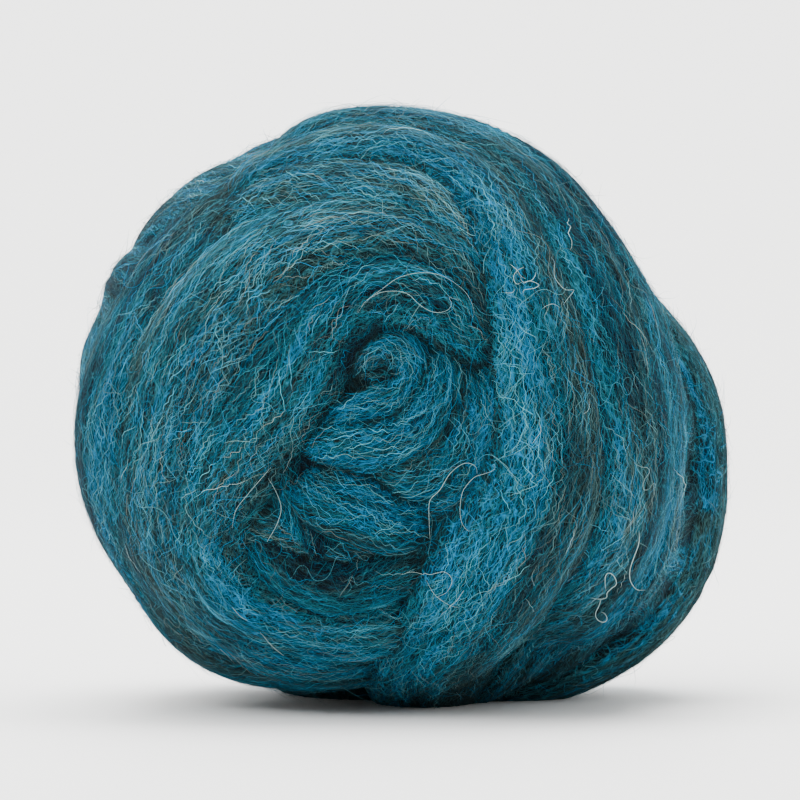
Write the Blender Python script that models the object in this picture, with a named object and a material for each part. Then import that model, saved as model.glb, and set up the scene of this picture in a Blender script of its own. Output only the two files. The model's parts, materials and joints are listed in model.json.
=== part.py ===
"""A ball of teal wool roving: one continuous strip of carded wool, wound by hand and resting on a small flat spot.

Metres, +Z up. The origin is on the resting surface, under the middle of the ball. -Y is the face that shows the
coiled centre. The ball is one solid: a soft body that carries the strip's outer turns as overlapping bands.
"""

import math
from collections import namedtuple

import bmesh
import bpy
import numpy as np

# Driving dimensions of the finished ball.
BALL_WIDTH = 0.109
BALL_DEPTH = 0.097
BALL_HEIGHT = 0.100

# The body under the outer turns is three rounded masses. The back coil sags to the right.
# Roundness 2 is an ellipsoid, and more is boxier.
Mass = namedtuple("Mass", "centre half roundness")
FRONT_COIL = Mass((-0.0050, -0.0064, 0.0514), (0.0450, 0.0370, 0.0428), 2.0)
MIDDLE_COIL = Mass((-0.0040, 0.0064, 0.0500), (0.0415, 0.0340, 0.0405), 2.0)
BACK_COIL = Mass((0.0046, 0.0106, 0.0380), (0.0436, 0.0316, 0.0350), 2.35)
CENTRE = np.array([0.0, 0.0, 0.047])  # every height is measured outwards from here
COIL_BLEND = 0.003  # rounding where two coils meet
WRAP = 0.0068  # how far the outer turns stand off the body

# The strip.
BAND_THICKNESS = 0.0055  # how far the edge of a broad band falls below its crown
NARROW_FALL = 0.80  # the same for a narrow band, as a share of its half width
EDGE_FALL = 3.0  # how steeply a band's side goes on down past its edge
CREASE_SOFTNESS = 0.0010  # rounding where two bands meet
ROUTE_STEP = 0.002  # spacing of the points along a band's centre line

# The hollow of the face, which holds the coiled centre.
HOLLOW_PLACE = (-28, -40)
HOLLOW_RADIUS = 0.021
HOLLOW_DEPTH = 0.0054

# The turns that show between the outer bands, and on the back.
INNER_TURNS = 15
INNER_HALF_WIDTH = 0.0100
INNER_CROWN = 0.0020
BEHIND_CROWNS = (0.0060, 0.0072, 0.0030)  # heights of a front band where it goes round behind

# The rings of the back coil, from its middle outwards. Each ring's middle wanders from the last one's.
BACK_AXIS = (0.24, 0.95, -0.12)
BACK_RINGS = 5
RING_FIRST = 0.13  # radians from the axis to the smallest ring
RING_SPACING = 0.27
RING_WANDER = 0.07
RING_TURN = 2.3
RING_HALF_WIDTH = 0.0088
RING_CROWN = 0.0048
RING_RISE = 0.0003  # how much higher each ring lies than the last

# The view that the bands are set out in: their points are steps right of and above its middle.
VIEW_STEP = 0.000168
VIEW_MIDDLE = np.array([-0.0008, 0.0, 0.0510])
VIEW_DISTANCE = 1.0
VIEW_TILT = math.radians(2)
VIEW_REACH = 0.09  # the ball lies within this distance of the view's middle

# The mesh.
GRID_CELLS = 31  # cells along each side of the cube that is cast into the ball
FRONT_GATHER = 0.30  # how much finer the cells are at the face than at the back

TEAL = (0.022, 0.165, 0.235, 1.0)
WOOL_ROUGHNESS = 0.92

# A band is one outer turn of the strip. At each knot, a sight line right of and above the view's middle meets the
# ball's near side or its far side. The crown is the height over the body, and the half width is along the surface,
# both in millimetres. A band that goes round behind is closed by the mirror image of its own run.
Band = namedtuple("Band", "name side round_behind knots")
Knot = namedtuple("Knot", "right up crown half_width")
NEAR, FAR = 0, 1

BANDS = (
    Band("kernel", NEAR, False, (
        Knot(-56, 22, 0.8, 2.2), Knot(-34, 38, 3.0, 3.0), Knot(-12, 36, 2.4, 2.6))),
    Band("curl", NEAR, False, (
        Knot(-59, 27, 1.4, 2.6), Knot(-45, 54, 3.8, 3.4), Knot(-12, 69, 4.3, 3.8), Knot(15, 55, 3.6, 3.6),
        Knot(18, 27, 3.4, 3.4), Knot(-5, 6, 3.6, 3.6), Knot(-43, -8, 3.5, 3.8), Knot(-82, -26, 2.6, 3.6),
        Knot(-117, -50, 0.6, 3.2))),
    Band("fan", NEAR, False, (
        Knot(36, 76, 0.6, 2.6), Knot(53, 41, 3.8, 3.8), Knot(48, 2, 4.6, 4.8), Knot(15, -38, 4.7, 5.2),
        Knot(-29, -52, 4.7, 4.6), Knot(-82, -52, 3.8, 3.8), Knot(-124, -66, 0.8, 2.6))),
    Band("apron", NEAR, False, (
        Knot(71, 39, 2.4, 3.2), Knot(76, -10, 4.3, 4.2), Knot(57, -61, 4.4, 4.8), Knot(11, -89, 4.4, 4.4),
        Knot(-38, -77, 2.4, 3.4))),
    Band("cheek", NEAR, False, (
        Knot(90, 48, 2.4, 3.4), Knot(102, -4, 5.2, 4.4), Knot(97, -59, 5.2, 4.8),
        Knot(74, -105, 4.6, 4.2), Knot(39, -130, 2.4, 3.4))),
    Band("pillow", NEAR, False, (
        Knot(-132, -93, 1.0, 2.8), Knot(-95, -109, 4.2, 5.0), Knot(-47, -126, 5.2, 6.0),
        Knot(2, -144, 4.8, 5.0), Knot(43, -148, 1.8, 3.8))),
    Band("cradle", NEAR, False, (
        Knot(-158, -102, 0.4, 4.2), Knot(-154, -152, 2.0, 4.8), Knot(-109, -194, 4.0, 5.2),
        Knot(-49, -207, 4.8, 5.0), Knot(10, -194, 3.4, 4.8))),
    Band("collar", NEAR, False, (
        Knot(60, -238, 4.0, 6.0), Knot(-20, -250, 5.8, 7.2), Knot(-96, -248, 5.6, 7.4),
        Knot(-166, -216, 5.8, 7.4), Knot(-204, -152, 5.8, 7.4), Knot(-184, -76, 6.0, 7.4),
        Knot(-134, 4, 6.4, 7.4), Knot(-82, 78, 6.8, 7.0), Knot(-22, 117, 7.0, 6.4),
        Knot(38, 110, 6.6, 5.8), Knot(90, 66, 4.8, 4.8))),
    Band("shoulder", NEAR, False, (
        Knot(10, -292, 2.0, 8.0), Knot(-80, -280, 7.0, 9.0), Knot(-166, -252, 6.4, 10.4),
        Knot(-228, -196, 6.2, 11.0), Knot(-252, -110, 6.3, 11.4), Knot(-232, -6, 6.2, 11.6),
        Knot(-182, 92, 6.2, 11.4), Knot(-108, 156, 6.6, 10.2), Knot(-26, 176, 7.3, 8.4),
        Knot(46, 152, 6.8, 6.6), Knot(96, 102, 5.6, 5.2))),
    Band("rim", NEAR, False, (
        Knot(-60, -292, 5.0, 8.0), Knot(-184, -258, 8.2, 9.4), Knot(-264, -188, 5.8, 10.6),
        Knot(-298, -96, 6.3, 11.4), Knot(-298, 10, 5.4, 11.8), Knot(-268, 122, 2.4, 12.4),
        Knot(-194, 208, 2.4, 12.0), Knot(-96, 228, 6.0, 9.4), Knot(0, 214, 7.4, 7.8),
        Knot(62, 176, 6.8, 6.0), Knot(106, 126, 5.8, 5.0))),
    Band("main", NEAR, True, (
        Knot(-214, 206, 1.6, 6.2), Knot(-140, 240, 5.0, 5.8), Knot(-60, 256, 7.4, 6.4),
        Knot(12, 252, 8.0, 6.2), Knot(82, 213, 8.8, 6.2), Knot(126, 130, 9.3, 6.6),
        Knot(149, 50, 9.6, 7.6), Knot(159, -30, 9.6, 8.6), Knot(150, -105, 9.4, 10.8),
        Knot(118, -172, 9.0, 11.4), Knot(76, -240, 8.2, 11.4), Knot(38, -290, 6.6, 11.0))),
    Band("second", NEAR, True, (
        Knot(-164, 252, 2.6, 7.2), Knot(-70, 282, 6.4, 7.2), Knot(30, 278, 7.8, 7.6),
        Knot(120, 232, 8.8, 10.0), Knot(186, 150, 9.0, 12.2), Knot(226, 50, 9.2, 14.4),
        Knot(242, -50, 9.4, 14.8), Knot(232, -140, 9.0, 13.2), Knot(192, -216, 6.6, 10.8),
        Knot(134, -272, 3.2, 9.4))),
    Band("outer", FAR, False, (
        Knot(120, 220, 2.0, 8.0), Knot(240, 130, 2.8, 9.6), Knot(292, 30, 4.4, 11.0),
        Knot(304, -70, 5.8, 12.0), Knot(280, -160, 5.4, 11.5), Knot(226, -232, 8.6, 11.4),
        Knot(140, -262, 6.4, 9.0), Knot(40, -262, 4.0, 8.0))),
    Band("heel", FAR, False, (
        Knot(-100, 262, 2.6, 8.0), Knot(-180, 210, 2.4, 9.0), Knot(-240, 140, 2.2, 9.4),
        Knot(-286, 50, 3.6, 9.4), Knot(-302, -40, 6.2, 9.4), Knot(-278, -140, 7.0, 9.4),
        Knot(-216, -222, 8.0, 9.0), Knot(-120, -262, 7.4, 8.0), Knot(-20, -262, 4.0, 8.0))),
)


def unit(vectors):
    return vectors / np.linalg.norm(vectors, axis=-1, keepdims=True)


def soft_max(first, second, softness):
    return (first + second + np.sqrt((first - second) ** 2 + softness**2)) / 2


def mass_reach(directions, mass):
    """Distance from CENTRE to a mass's surface along each unit direction, by halving."""
    near = np.zeros(len(directions))
    far = np.full(len(directions), VIEW_REACH)
    for _ in range(24):
        middle = (near + far) / 2
        points = CENTRE + directions * middle[:, None] - mass.centre
        inside = (np.abs(points / mass.half) ** mass.roundness).sum(axis=1) < 1
        near = np.where(inside, middle, near)
        far = np.where(inside, far, middle)
    return near


def coil_reach(directions):
    """Distance from CENTRE to the surface of the coils along each unit direction."""
    reach = mass_reach(directions, FRONT_COIL)
    for mass in (MIDDLE_COIL, BACK_COIL):
        reach = soft_max(reach, mass_reach(directions, mass), COIL_BLEND)
    return reach


def sight_directions(side, right, up):
    """Unit directions from CENTRE to where sight lines of the view meet the near or the far side of the ball."""
    across = np.array([1.0, 0.0, 0.0])
    upward = np.array([0.0, math.sin(VIEW_TILT), math.cos(VIEW_TILT)])
    forward = np.array([0.0, math.cos(VIEW_TILT), -math.sin(VIEW_TILT)])
    places = VIEW_MIDDLE + VIEW_STEP * (np.outer(right, across) + np.outer(up, upward))
    sight = unit(places - (VIEW_MIDDLE - VIEW_DISTANCE * forward))
    outer = np.full(len(places), -VIEW_REACH if side == NEAR else VIEW_REACH)
    inner = np.zeros(len(places))
    for _ in range(24):
        middle = (outer + inner) / 2
        arms = places + sight * middle[:, None] - CENTRE
        outside = np.linalg.norm(arms, axis=1) > coil_reach(unit(arms)) + WRAP
        outer = np.where(outside, middle, outer)
        inner = np.where(outside, inner, middle)
    return unit(places + sight * inner[:, None] - CENTRE)


def smooth_route(knots, closed):
    """Points about ROUTE_STEP apart on the Catmull-Rom curve through the rows of knots."""
    if closed:
        padded = np.vstack([knots[-1:], knots, knots[:2]])
    else:
        padded = np.vstack([2 * knots[0] - knots[1], knots, 2 * knots[-1] - knots[-2]])
    spans = len(padded) - 3
    places = []
    for i in range(spans):
        before, start, end, after = padded[i : i + 4]
        pieces = max(2, math.ceil(np.linalg.norm((end - start)[:3]) / ROUTE_STEP))
        t = (np.arange(pieces) / pieces)[:, None]
        places.append(
            start
            + 0.5 * t * (end - before)
            + 0.5 * t**2 * (2 * before - 5 * start + 4 * end - after)
            + 0.5 * t**3 * (3 * start - before - 3 * end + after)
        )
    places.append(padded[spans + 1 : spans + 2])
    return np.vstack(places)


def body_reach(directions):
    """How far the body's surface is from CENTRE, less the hollow of the face."""
    right, up = HOLLOW_PLACE
    hollow = sight_directions(NEAR, [right], [up])[0]
    away = np.linalg.norm(directions - hollow, axis=1) * BALL_DEPTH / 2
    return coil_reach(directions) - HOLLOW_DEPTH * np.exp(-((away / HOLLOW_RADIUS) ** 4))


def on_body(directions):
    return directions * body_reach(directions)[:, None]


def band_route(band):
    """A band's centre line on the body, with the crown height and the half width at each of its points."""
    knots = np.array(band.knots, float)
    rows = np.hstack([
        sight_directions(band.side, knots[:, 0], knots[:, 1]) * BALL_WIDTH / 2,
        knots[:, 2:] / 1000,
    ])
    if band.round_behind:
        count = len(rows)
        behind = rows[[count // 4, count // 2, count - 1 - count // 4]].copy()
        behind[:, :3] *= -1
        behind[:, 3] = BEHIND_CROWNS
        rows = np.vstack([rows, behind])
    route = smooth_route(rows, band.round_behind)
    return on_body(unit(route[:, :3])), route[:, 3], route[:, 4]


def ring_route(axis, radius, crown, half_width):
    """A ring round an axis, radius radians from it, with one crown height and one half width."""
    first = unit(np.cross(axis, (0.3, 0.2, 0.9)))
    second = np.cross(axis, first)
    turns = np.linspace(0, 2 * math.pi, 161)[:, None]
    around = first * np.cos(turns) + second * np.sin(turns)
    line = on_body(axis * math.cos(radius) + around * math.sin(radius))
    return line, np.full(len(line), crown), np.full(len(line), half_width)


def inner_route(index):
    """The great circle of one inner turn. Its pole goes round the ball by the golden angle."""
    golden = math.pi * (3 - math.sqrt(5))
    height = 1 - 2 * (index + 0.5) / INNER_TURNS
    ring = math.sqrt(1 - height * height)
    pole = np.array([ring * math.cos(index * golden), height, ring * math.sin(index * golden)])
    return ring_route(pole, math.pi / 2, INNER_CROWN, INNER_HALF_WIDTH)


def back_route(index):
    """One ring of the back coil."""
    turn = index * RING_TURN
    wander = RING_WANDER * np.array([math.cos(turn), 0.0, math.sin(turn)])
    radius = RING_FIRST + RING_SPACING * index
    return ring_route(unit(BACK_AXIS + wander), radius, RING_CROWN + RING_RISE * index, RING_HALF_WIDTH)


def nearest_on_route(points, line):
    """Each point's distance from a line of points, with the segment that it is nearest to and its place there."""
    closest = (2 * points @ line.T - (line**2).sum(axis=1)).argmax(axis=1)
    best = np.full(len(points), np.inf)
    segment = np.zeros(len(points), int)
    share = np.zeros(len(points))
    for back in (1, 0):
        tried = np.clip(closest - back, 0, len(line) - 2)
        start = line[tried]
        run = line[tried + 1] - start
        along = np.clip(((points - start) * run).sum(axis=1) / (run**2).sum(axis=1), 0, 1)
        gap = np.linalg.norm(points - start - along[:, None] * run, axis=1)
        better = gap < best
        best = np.where(better, gap, best)
        segment = np.where(better, tried, segment)
        share = np.where(better, along, share)
    return best, segment, share


def laid_band(points, route):
    """Height of a band over the body: a half oval across its width, which falls steeply past its edge."""
    line, crowns, half_widths = route
    away, segment, share = nearest_on_route(points, line)
    crown = crowns[segment] * (1 - share) + crowns[segment + 1] * share
    half_width = half_widths[segment] * (1 - share) + half_widths[segment + 1] * share
    fall = np.minimum(BAND_THICKNESS, half_width * NARROW_FALL)
    across = away / half_width
    inside = 1 - np.sqrt(1 - np.minimum(across, 1) ** 2)
    outside = EDGE_FALL * np.maximum(across - 1, 0)
    return crown - fall * (inside + outside)


def wound_height(points):
    """Height of the wound strip over the body at points on the body, from the inner turns to the outer ones."""
    height = np.zeros(len(points))
    routes = [inner_route(index) for index in range(INNER_TURNS)]
    routes += [back_route(index) for index in range(BACK_RINGS)]
    routes += [band_route(band) for band in BANDS]
    for route in routes:
        height = soft_max(height, laid_band(points, route), CREASE_SOFTNESS)
    return height


def ball_surface(directions):
    """The finished surface along each unit direction, flat where it meets the floor, at the ball's size."""
    body = on_body(directions)
    points = CENTRE + body + directions * wound_height(body)[:, None]
    points[:, 2] = np.maximum(points[:, 2], 0)
    low, high = points.min(axis=0), points.max(axis=0)
    size = np.array([BALL_WIDTH, BALL_DEPTH, BALL_HEIGHT])
    points = (points - low) * size / (high - low)
    return points - np.array([BALL_WIDTH / 2, BALL_DEPTH / 2, 0])


def gathered(directions):
    """Unit directions drawn towards the face, so that the mesh is finer there."""
    turn = np.arccos(np.clip(-directions[:, 1], -1, 1))
    drawn = turn - FRONT_GATHER * np.sin(turn)
    ring = np.maximum(np.hypot(directions[:, 0], directions[:, 2]), 1e-9)
    side = np.sin(drawn) / ring
    return np.column_stack([directions[:, 0] * side, -np.cos(drawn), directions[:, 2] * side])


def cube_grid(cells):
    """A mesh of a cube with that many cells along each side, and its points as unit directions."""
    grid = bmesh.new()
    bmesh.ops.create_cube(grid, size=2)
    bmesh.ops.subdivide_edges(grid, edges=grid.edges[:], cuts=cells - 1, use_grid_fill=True)
    mesh = bpy.data.meshes.new("roving_ball")
    grid.to_mesh(mesh)
    grid.free()
    corners = np.empty(len(mesh.vertices) * 3, np.float32)
    mesh.vertices.foreach_get("co", corners)
    even = np.tan(corners.reshape(-1, 3).astype(float) * math.pi / 4)
    return mesh, unit(even)


def wool_material():
    material = bpy.data.materials.new("teal_wool")
    material.use_nodes = True
    shader = material.node_tree.nodes["Principled BSDF"]
    shader.inputs["Base Color"].default_value = TEAL
    shader.inputs["Roughness"].default_value = WOOL_ROUGHNESS
    shader.inputs["Metallic"].default_value = 0.0
    return material


def roving_ball(cells=GRID_CELLS):
    """The wound ball, as one closed object."""
    mesh, directions = cube_grid(cells)
    points = ball_surface(gathered(directions))
    mesh.vertices.foreach_set("co", points.astype(np.float32).ravel())
    mesh.materials.append(wool_material())
    mesh.shade_smooth()
    mesh.update()
    ball = bpy.data.objects.new("roving_ball", mesh)
    bpy.context.scene.collection.objects.link(ball)
    return ball


def main():
    for old in list(bpy.data.objects):
        bpy.data.objects.remove(old)
    roving_ball()


if __name__ == "__main__":
    main()
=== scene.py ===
"""The looks of a ball of teal wool roving: its wound skin, its crimped fibres, a plain floor and soft light.

Metres, +Z up. The ball rests on z = 0, and -Y is the face that shows the coiled centre.
"""

from __future__ import annotations

import json
import logging
import math
from collections.abc import Callable
from dataclasses import dataclass, field
from enum import Enum
from typing import NamedTuple

import bpy
import numpy as np
from bpy.types import Material, NodeSocket, Object
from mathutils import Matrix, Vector

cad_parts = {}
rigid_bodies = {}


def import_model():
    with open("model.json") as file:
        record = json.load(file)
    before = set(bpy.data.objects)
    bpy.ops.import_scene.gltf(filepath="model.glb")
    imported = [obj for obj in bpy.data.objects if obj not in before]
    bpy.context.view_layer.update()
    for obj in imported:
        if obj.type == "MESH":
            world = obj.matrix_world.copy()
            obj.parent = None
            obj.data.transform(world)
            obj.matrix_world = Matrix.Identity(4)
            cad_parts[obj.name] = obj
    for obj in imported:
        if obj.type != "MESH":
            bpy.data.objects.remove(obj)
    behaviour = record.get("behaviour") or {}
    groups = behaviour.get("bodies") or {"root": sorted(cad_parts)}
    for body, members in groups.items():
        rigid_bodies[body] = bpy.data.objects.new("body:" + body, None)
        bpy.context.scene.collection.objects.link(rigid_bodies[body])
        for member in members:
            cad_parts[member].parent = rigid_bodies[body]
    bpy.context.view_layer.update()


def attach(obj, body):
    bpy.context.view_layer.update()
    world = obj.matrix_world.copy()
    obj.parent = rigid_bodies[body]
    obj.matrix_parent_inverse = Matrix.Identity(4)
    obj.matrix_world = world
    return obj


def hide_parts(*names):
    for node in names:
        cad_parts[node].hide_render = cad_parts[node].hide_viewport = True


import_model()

Array = np.ndarray
Pair = tuple[float, float]
Triple = tuple[float, float, float]
Four = tuple[float, float, float, float]

LOG = logging.getLogger("roving")
MM = 0.001
CENTIMETRES = 100
TURN = 2 * math.pi
GOLDEN_ANGLE = math.pi * (3 - math.sqrt(5))
HALVINGS = 24
CAD_NODE = "roving_ball"

# The ball's width, depth and height.
SIZE = (0.109, 0.097, 0.100)
# What every direction and radius is counted from, before the form is brought to its size.
CENTRE = (0.0, 0.0, 0.047)


class Side(Enum):
    """Which side of the ball a sight line is followed to."""

    NEAR = -1
    FAR = 1


class Knot(NamedTuple):
    """A point of a centre line: steps right of and above the view's middle, then millimetres."""

    right: float
    up: float
    crown: float
    half_width: float


@dataclass(frozen=True)
class Mass:
    """A rounded mass under the outer turns. Roundness 2 is an ellipsoid, and more is boxier."""

    centre: Triple
    half: Triple
    roundness: float


@dataclass(frozen=True)
class Band:
    """One outer turn. One that goes round behind is closed by the mirror image of its own run."""

    name: str
    side: Side
    round_behind: bool
    knots: tuple[Knot, ...]


BANDS = (
    Band("kernel", Side.NEAR, False, (
        Knot(-56, 22, 0.8, 2.2), Knot(-34, 38, 3.0, 3.0), Knot(-12, 36, 2.4, 2.6))),
    Band("curl", Side.NEAR, False, (
        Knot(-59, 27, 1.4, 2.6), Knot(-45, 54, 3.8, 3.4), Knot(-12, 69, 4.3, 3.8), Knot(15, 55, 3.6, 3.6),
        Knot(18, 27, 3.4, 3.4), Knot(-5, 6, 3.6, 3.6), Knot(-43, -8, 3.5, 3.8), Knot(-82, -26, 2.6, 3.6),
        Knot(-117, -50, 0.6, 3.2))),
    Band("fan", Side.NEAR, False, (
        Knot(36, 76, 0.6, 2.6), Knot(53, 41, 3.8, 3.8), Knot(48, 2, 4.6, 4.8), Knot(15, -38, 4.7, 5.2),
        Knot(-29, -52, 4.7, 4.6), Knot(-82, -52, 3.8, 3.8), Knot(-124, -66, 0.8, 2.6))),
    Band("apron", Side.NEAR, False, (
        Knot(71, 39, 2.4, 3.2), Knot(76, -10, 4.3, 4.2), Knot(57, -61, 4.4, 4.8), Knot(11, -89, 4.4, 4.4),
        Knot(-38, -77, 2.4, 3.4))),
    Band("cheek", Side.NEAR, False, (
        Knot(90, 48, 2.4, 3.4), Knot(102, -4, 5.2, 4.4), Knot(97, -59, 5.2, 4.8),
        Knot(74, -105, 4.6, 4.2), Knot(39, -130, 2.4, 3.4))),
    Band("pillow", Side.NEAR, False, (
        Knot(-132, -93, 1.0, 2.8), Knot(-95, -109, 4.2, 5.0), Knot(-47, -126, 5.2, 6.0),
        Knot(2, -144, 4.8, 5.0), Knot(43, -148, 1.8, 3.8))),
    Band("cradle", Side.NEAR, False, (
        Knot(-158, -102, 0.4, 4.2), Knot(-154, -152, 2.0, 4.8), Knot(-109, -194, 4.0, 5.2),
        Knot(-49, -207, 4.8, 5.0), Knot(10, -194, 3.4, 4.8))),
    Band("collar", Side.NEAR, False, (
        Knot(60, -238, 4.0, 6.0), Knot(-20, -250, 5.8, 7.2), Knot(-96, -248, 5.6, 7.4),
        Knot(-166, -216, 5.8, 7.4), Knot(-204, -152, 5.8, 7.4), Knot(-184, -76, 6.0, 7.4),
        Knot(-134, 4, 6.4, 7.4), Knot(-82, 78, 6.8, 7.0), Knot(-22, 117, 7.0, 6.4),
        Knot(38, 110, 6.6, 5.8), Knot(90, 66, 4.8, 4.8))),
    Band("shoulder", Side.NEAR, False, (
        Knot(10, -292, 2.0, 8.0), Knot(-80, -280, 7.0, 9.0), Knot(-166, -252, 6.4, 10.4),
        Knot(-228, -196, 6.2, 11.0), Knot(-252, -110, 6.3, 11.4), Knot(-232, -6, 6.2, 11.6),
        Knot(-182, 92, 6.2, 11.4), Knot(-108, 156, 6.6, 10.2), Knot(-26, 176, 7.3, 8.4),
        Knot(46, 152, 6.8, 6.6), Knot(96, 102, 5.6, 5.2))),
    Band("rim", Side.NEAR, False, (
        Knot(-60, -292, 5.0, 8.0), Knot(-184, -258, 8.2, 9.4), Knot(-264, -188, 5.8, 10.6),
        Knot(-298, -96, 6.3, 11.4), Knot(-298, 10, 5.4, 11.8), Knot(-268, 122, 2.4, 12.4),
        Knot(-194, 208, 2.4, 12.0), Knot(-96, 228, 6.0, 9.4), Knot(0, 214, 7.4, 7.8),
        Knot(62, 176, 6.8, 6.0), Knot(106, 126, 5.8, 5.0))),
    Band("main", Side.NEAR, True, (
        Knot(-214, 206, 1.6, 6.2), Knot(-140, 240, 5.0, 5.8), Knot(-60, 256, 7.4, 6.4),
        Knot(12, 252, 8.0, 6.2), Knot(82, 213, 8.8, 6.2), Knot(126, 130, 9.3, 6.6),
        Knot(149, 50, 9.6, 7.6), Knot(159, -30, 9.6, 8.6), Knot(150, -105, 9.4, 10.8),
        Knot(118, -172, 9.0, 11.4), Knot(76, -240, 8.2, 11.4), Knot(38, -290, 6.6, 11.0))),
    Band("second", Side.NEAR, True, (
        Knot(-164, 252, 2.6, 7.2), Knot(-70, 282, 6.4, 7.2), Knot(30, 278, 7.8, 7.6),
        Knot(120, 232, 8.8, 10.0), Knot(186, 150, 9.0, 12.2), Knot(226, 50, 9.2, 14.4),
        Knot(242, -50, 9.4, 14.8), Knot(232, -140, 9.0, 13.2), Knot(192, -216, 6.6, 10.8),
        Knot(134, -272, 3.2, 9.4))),
    Band("outer", Side.FAR, False, (
        Knot(120, 220, 2.0, 8.0), Knot(240, 130, 2.8, 9.6), Knot(292, 30, 4.4, 11.0),
        Knot(304, -70, 5.8, 12.0), Knot(280, -160, 5.4, 11.5), Knot(226, -232, 8.6, 11.4),
        Knot(140, -262, 6.4, 9.0), Knot(40, -262, 4.0, 8.0))),
    Band("heel", Side.FAR, False, (
        Knot(-100, 262, 2.6, 8.0), Knot(-180, 210, 2.4, 9.0), Knot(-240, 140, 2.2, 9.4),
        Knot(-286, 50, 3.6, 9.4), Knot(-302, -40, 6.2, 9.4), Knot(-278, -140, 7.0, 9.4),
        Knot(-216, -222, 8.0, 9.0), Knot(-120, -262, 7.4, 8.0), Knot(-20, -262, 4.0, 8.0))),
)


class Fold(NamedTuple):
    """A fold between two bands: how dark its painted shade is, and how far that painted shade reaches, in
    millimetres.
    """

    first: str
    second: str
    dark: float
    reach: float


# Painted shade in the folds: each pair of bands is darkened in the colour where one meets the other.
FOLDS = (
    Fold("kernel", "curl", 0.50, 0.6),
    Fold("kernel", "collar", 0.96, 1.3),
    Fold("curl", "collar", 0.97, 2.2),
    Fold("fan", "collar", 0.97, 2.2),
    Fold("apron", "collar", 0.97, 2.0),
    Fold("cheek", "collar", 0.94, 1.8),
    Fold("curl", "fan", 0.35, 0.8),
    Fold("fan", "apron", 0.30, 0.8),
    Fold("apron", "cheek", 0.25, 0.8),
    Fold("cheek", "main", 0.45, 1.0),
    Fold("apron", "main", 0.40, 1.0),
    Fold("fan", "pillow", 0.97, 1.2),
    Fold("apron", "pillow", 0.90, 0.8),
    Fold("cheek", "pillow", 0.80, 0.8),
    Fold("pillow", "main", 0.85, 1.0),
    Fold("pillow", "collar", 0.70, 1.2),
    Fold("pillow", "cradle", 0.96, 1.5),
    Fold("cradle", "main", 0.60, 1.0),
    Fold("collar", "main", 0.60, 0.9),
    Fold("shoulder", "main", 0.50, 0.8),
    Fold("rim", "main", 0.35, 0.7),
    Fold("curl", "cradle", 0.90, 1.2),
    Fold("fan", "cradle", 0.90, 1.2),
)


def unit(vectors: Array) -> Array:
    """Each row of vectors at length 1."""
    return vectors / np.maximum(np.linalg.norm(vectors, axis=-1, keepdims=True), 1e-12)


def soft_max(first: Array, second: Array, softness: float) -> Array:
    """The larger of two heights, rounded where they meet: half of their sum and their rounded difference."""
    return (first + second + np.sqrt((first - second) ** 2 + softness**2)) / 2


def last_inside(inside: Callable[[Array], Array], start: Array, end: Array) -> Array:
    """How far along each of many lines the inside reaches, by halving the stretch between two distances.

    Args:
        inside: Tells which distances along the lines are still inside.
        start: A distance on each line that is inside.
        end: A distance on each line that is outside.

    Returns:
        The last distance on each line that was found inside.
    """
    for _ in range(HALVINGS):
        half_way = (start + end) / 2
        still_in = inside(half_way)
        start = np.where(still_in, half_way, start)
        end = np.where(still_in, end, half_way)
    return start


def smooth_curve(knots: Array, closed: bool, step: float) -> Array:
    """Points about a step apart on the Catmull-Rom curve through rows of knots.

    Args:
        knots: Rows whose first three columns are a place, and whose others are carried along.
        closed: True for a ring.
        step: Spacing, in the units of the places.

    Returns:
        The rows of the curve.
    """
    if closed:
        padded = np.vstack([knots[-1:], knots, knots[:2]])
    else:
        padded = np.vstack([2 * knots[0] - knots[1], knots, 2 * knots[-1] - knots[-2]])
    spans = len(padded) - 3
    places = []
    for i in range(spans):
        before, start, end, after = padded[i : i + 4]
        pieces = max(2, math.ceil(float(np.linalg.norm((end - start)[:3])) / step))
        t = (np.arange(pieces) / pieces)[:, None]
        places.append(
            start
            + 0.5 * t * (end - before)
            + 0.5 * t**2 * (2 * before - 5 * start + 4 * end - after)
            + 0.5 * t**3 * (3 * start - before - 3 * end + after)
        )
    places.append(padded[spans + 1 : spans + 2])
    return np.vstack(places)


@dataclass(frozen=True)
class ValueNoise:
    """Smooth random heights from -1 to 1 over a plane: random lattice values, eased between their points."""

    seed: int
    size: int = 512

    def __call__(self, x: Array, y: Array) -> Array:
        """The heights at places of the plane: means of four corners, weighted by 3 squares less 2 cubes.

        Args:
            x: Places along the first side, in lattice cells.
            y: Places along the second side.

        Returns:
            One height for each place.
        """
        table = np.random.default_rng(self.seed).random((self.size, self.size)) * 2 - 1
        column, row = np.floor(x).astype(int), np.floor(y).astype(int)
        fx, fy = x - column, y - row
        fx, fy = fx * fx * (3 - 2 * fx), fy * fy * (3 - 2 * fy)
        low_x, low_y = column % self.size, row % self.size
        high_x, high_y = (column + 1) % self.size, (row + 1) % self.size
        near = table[low_x, low_y] * (1 - fx) + table[high_x, low_y] * fx
        far = table[low_x, high_y] * (1 - fx) + table[high_x, high_y] * fx
        return near * (1 - fy) + far * fy


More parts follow.
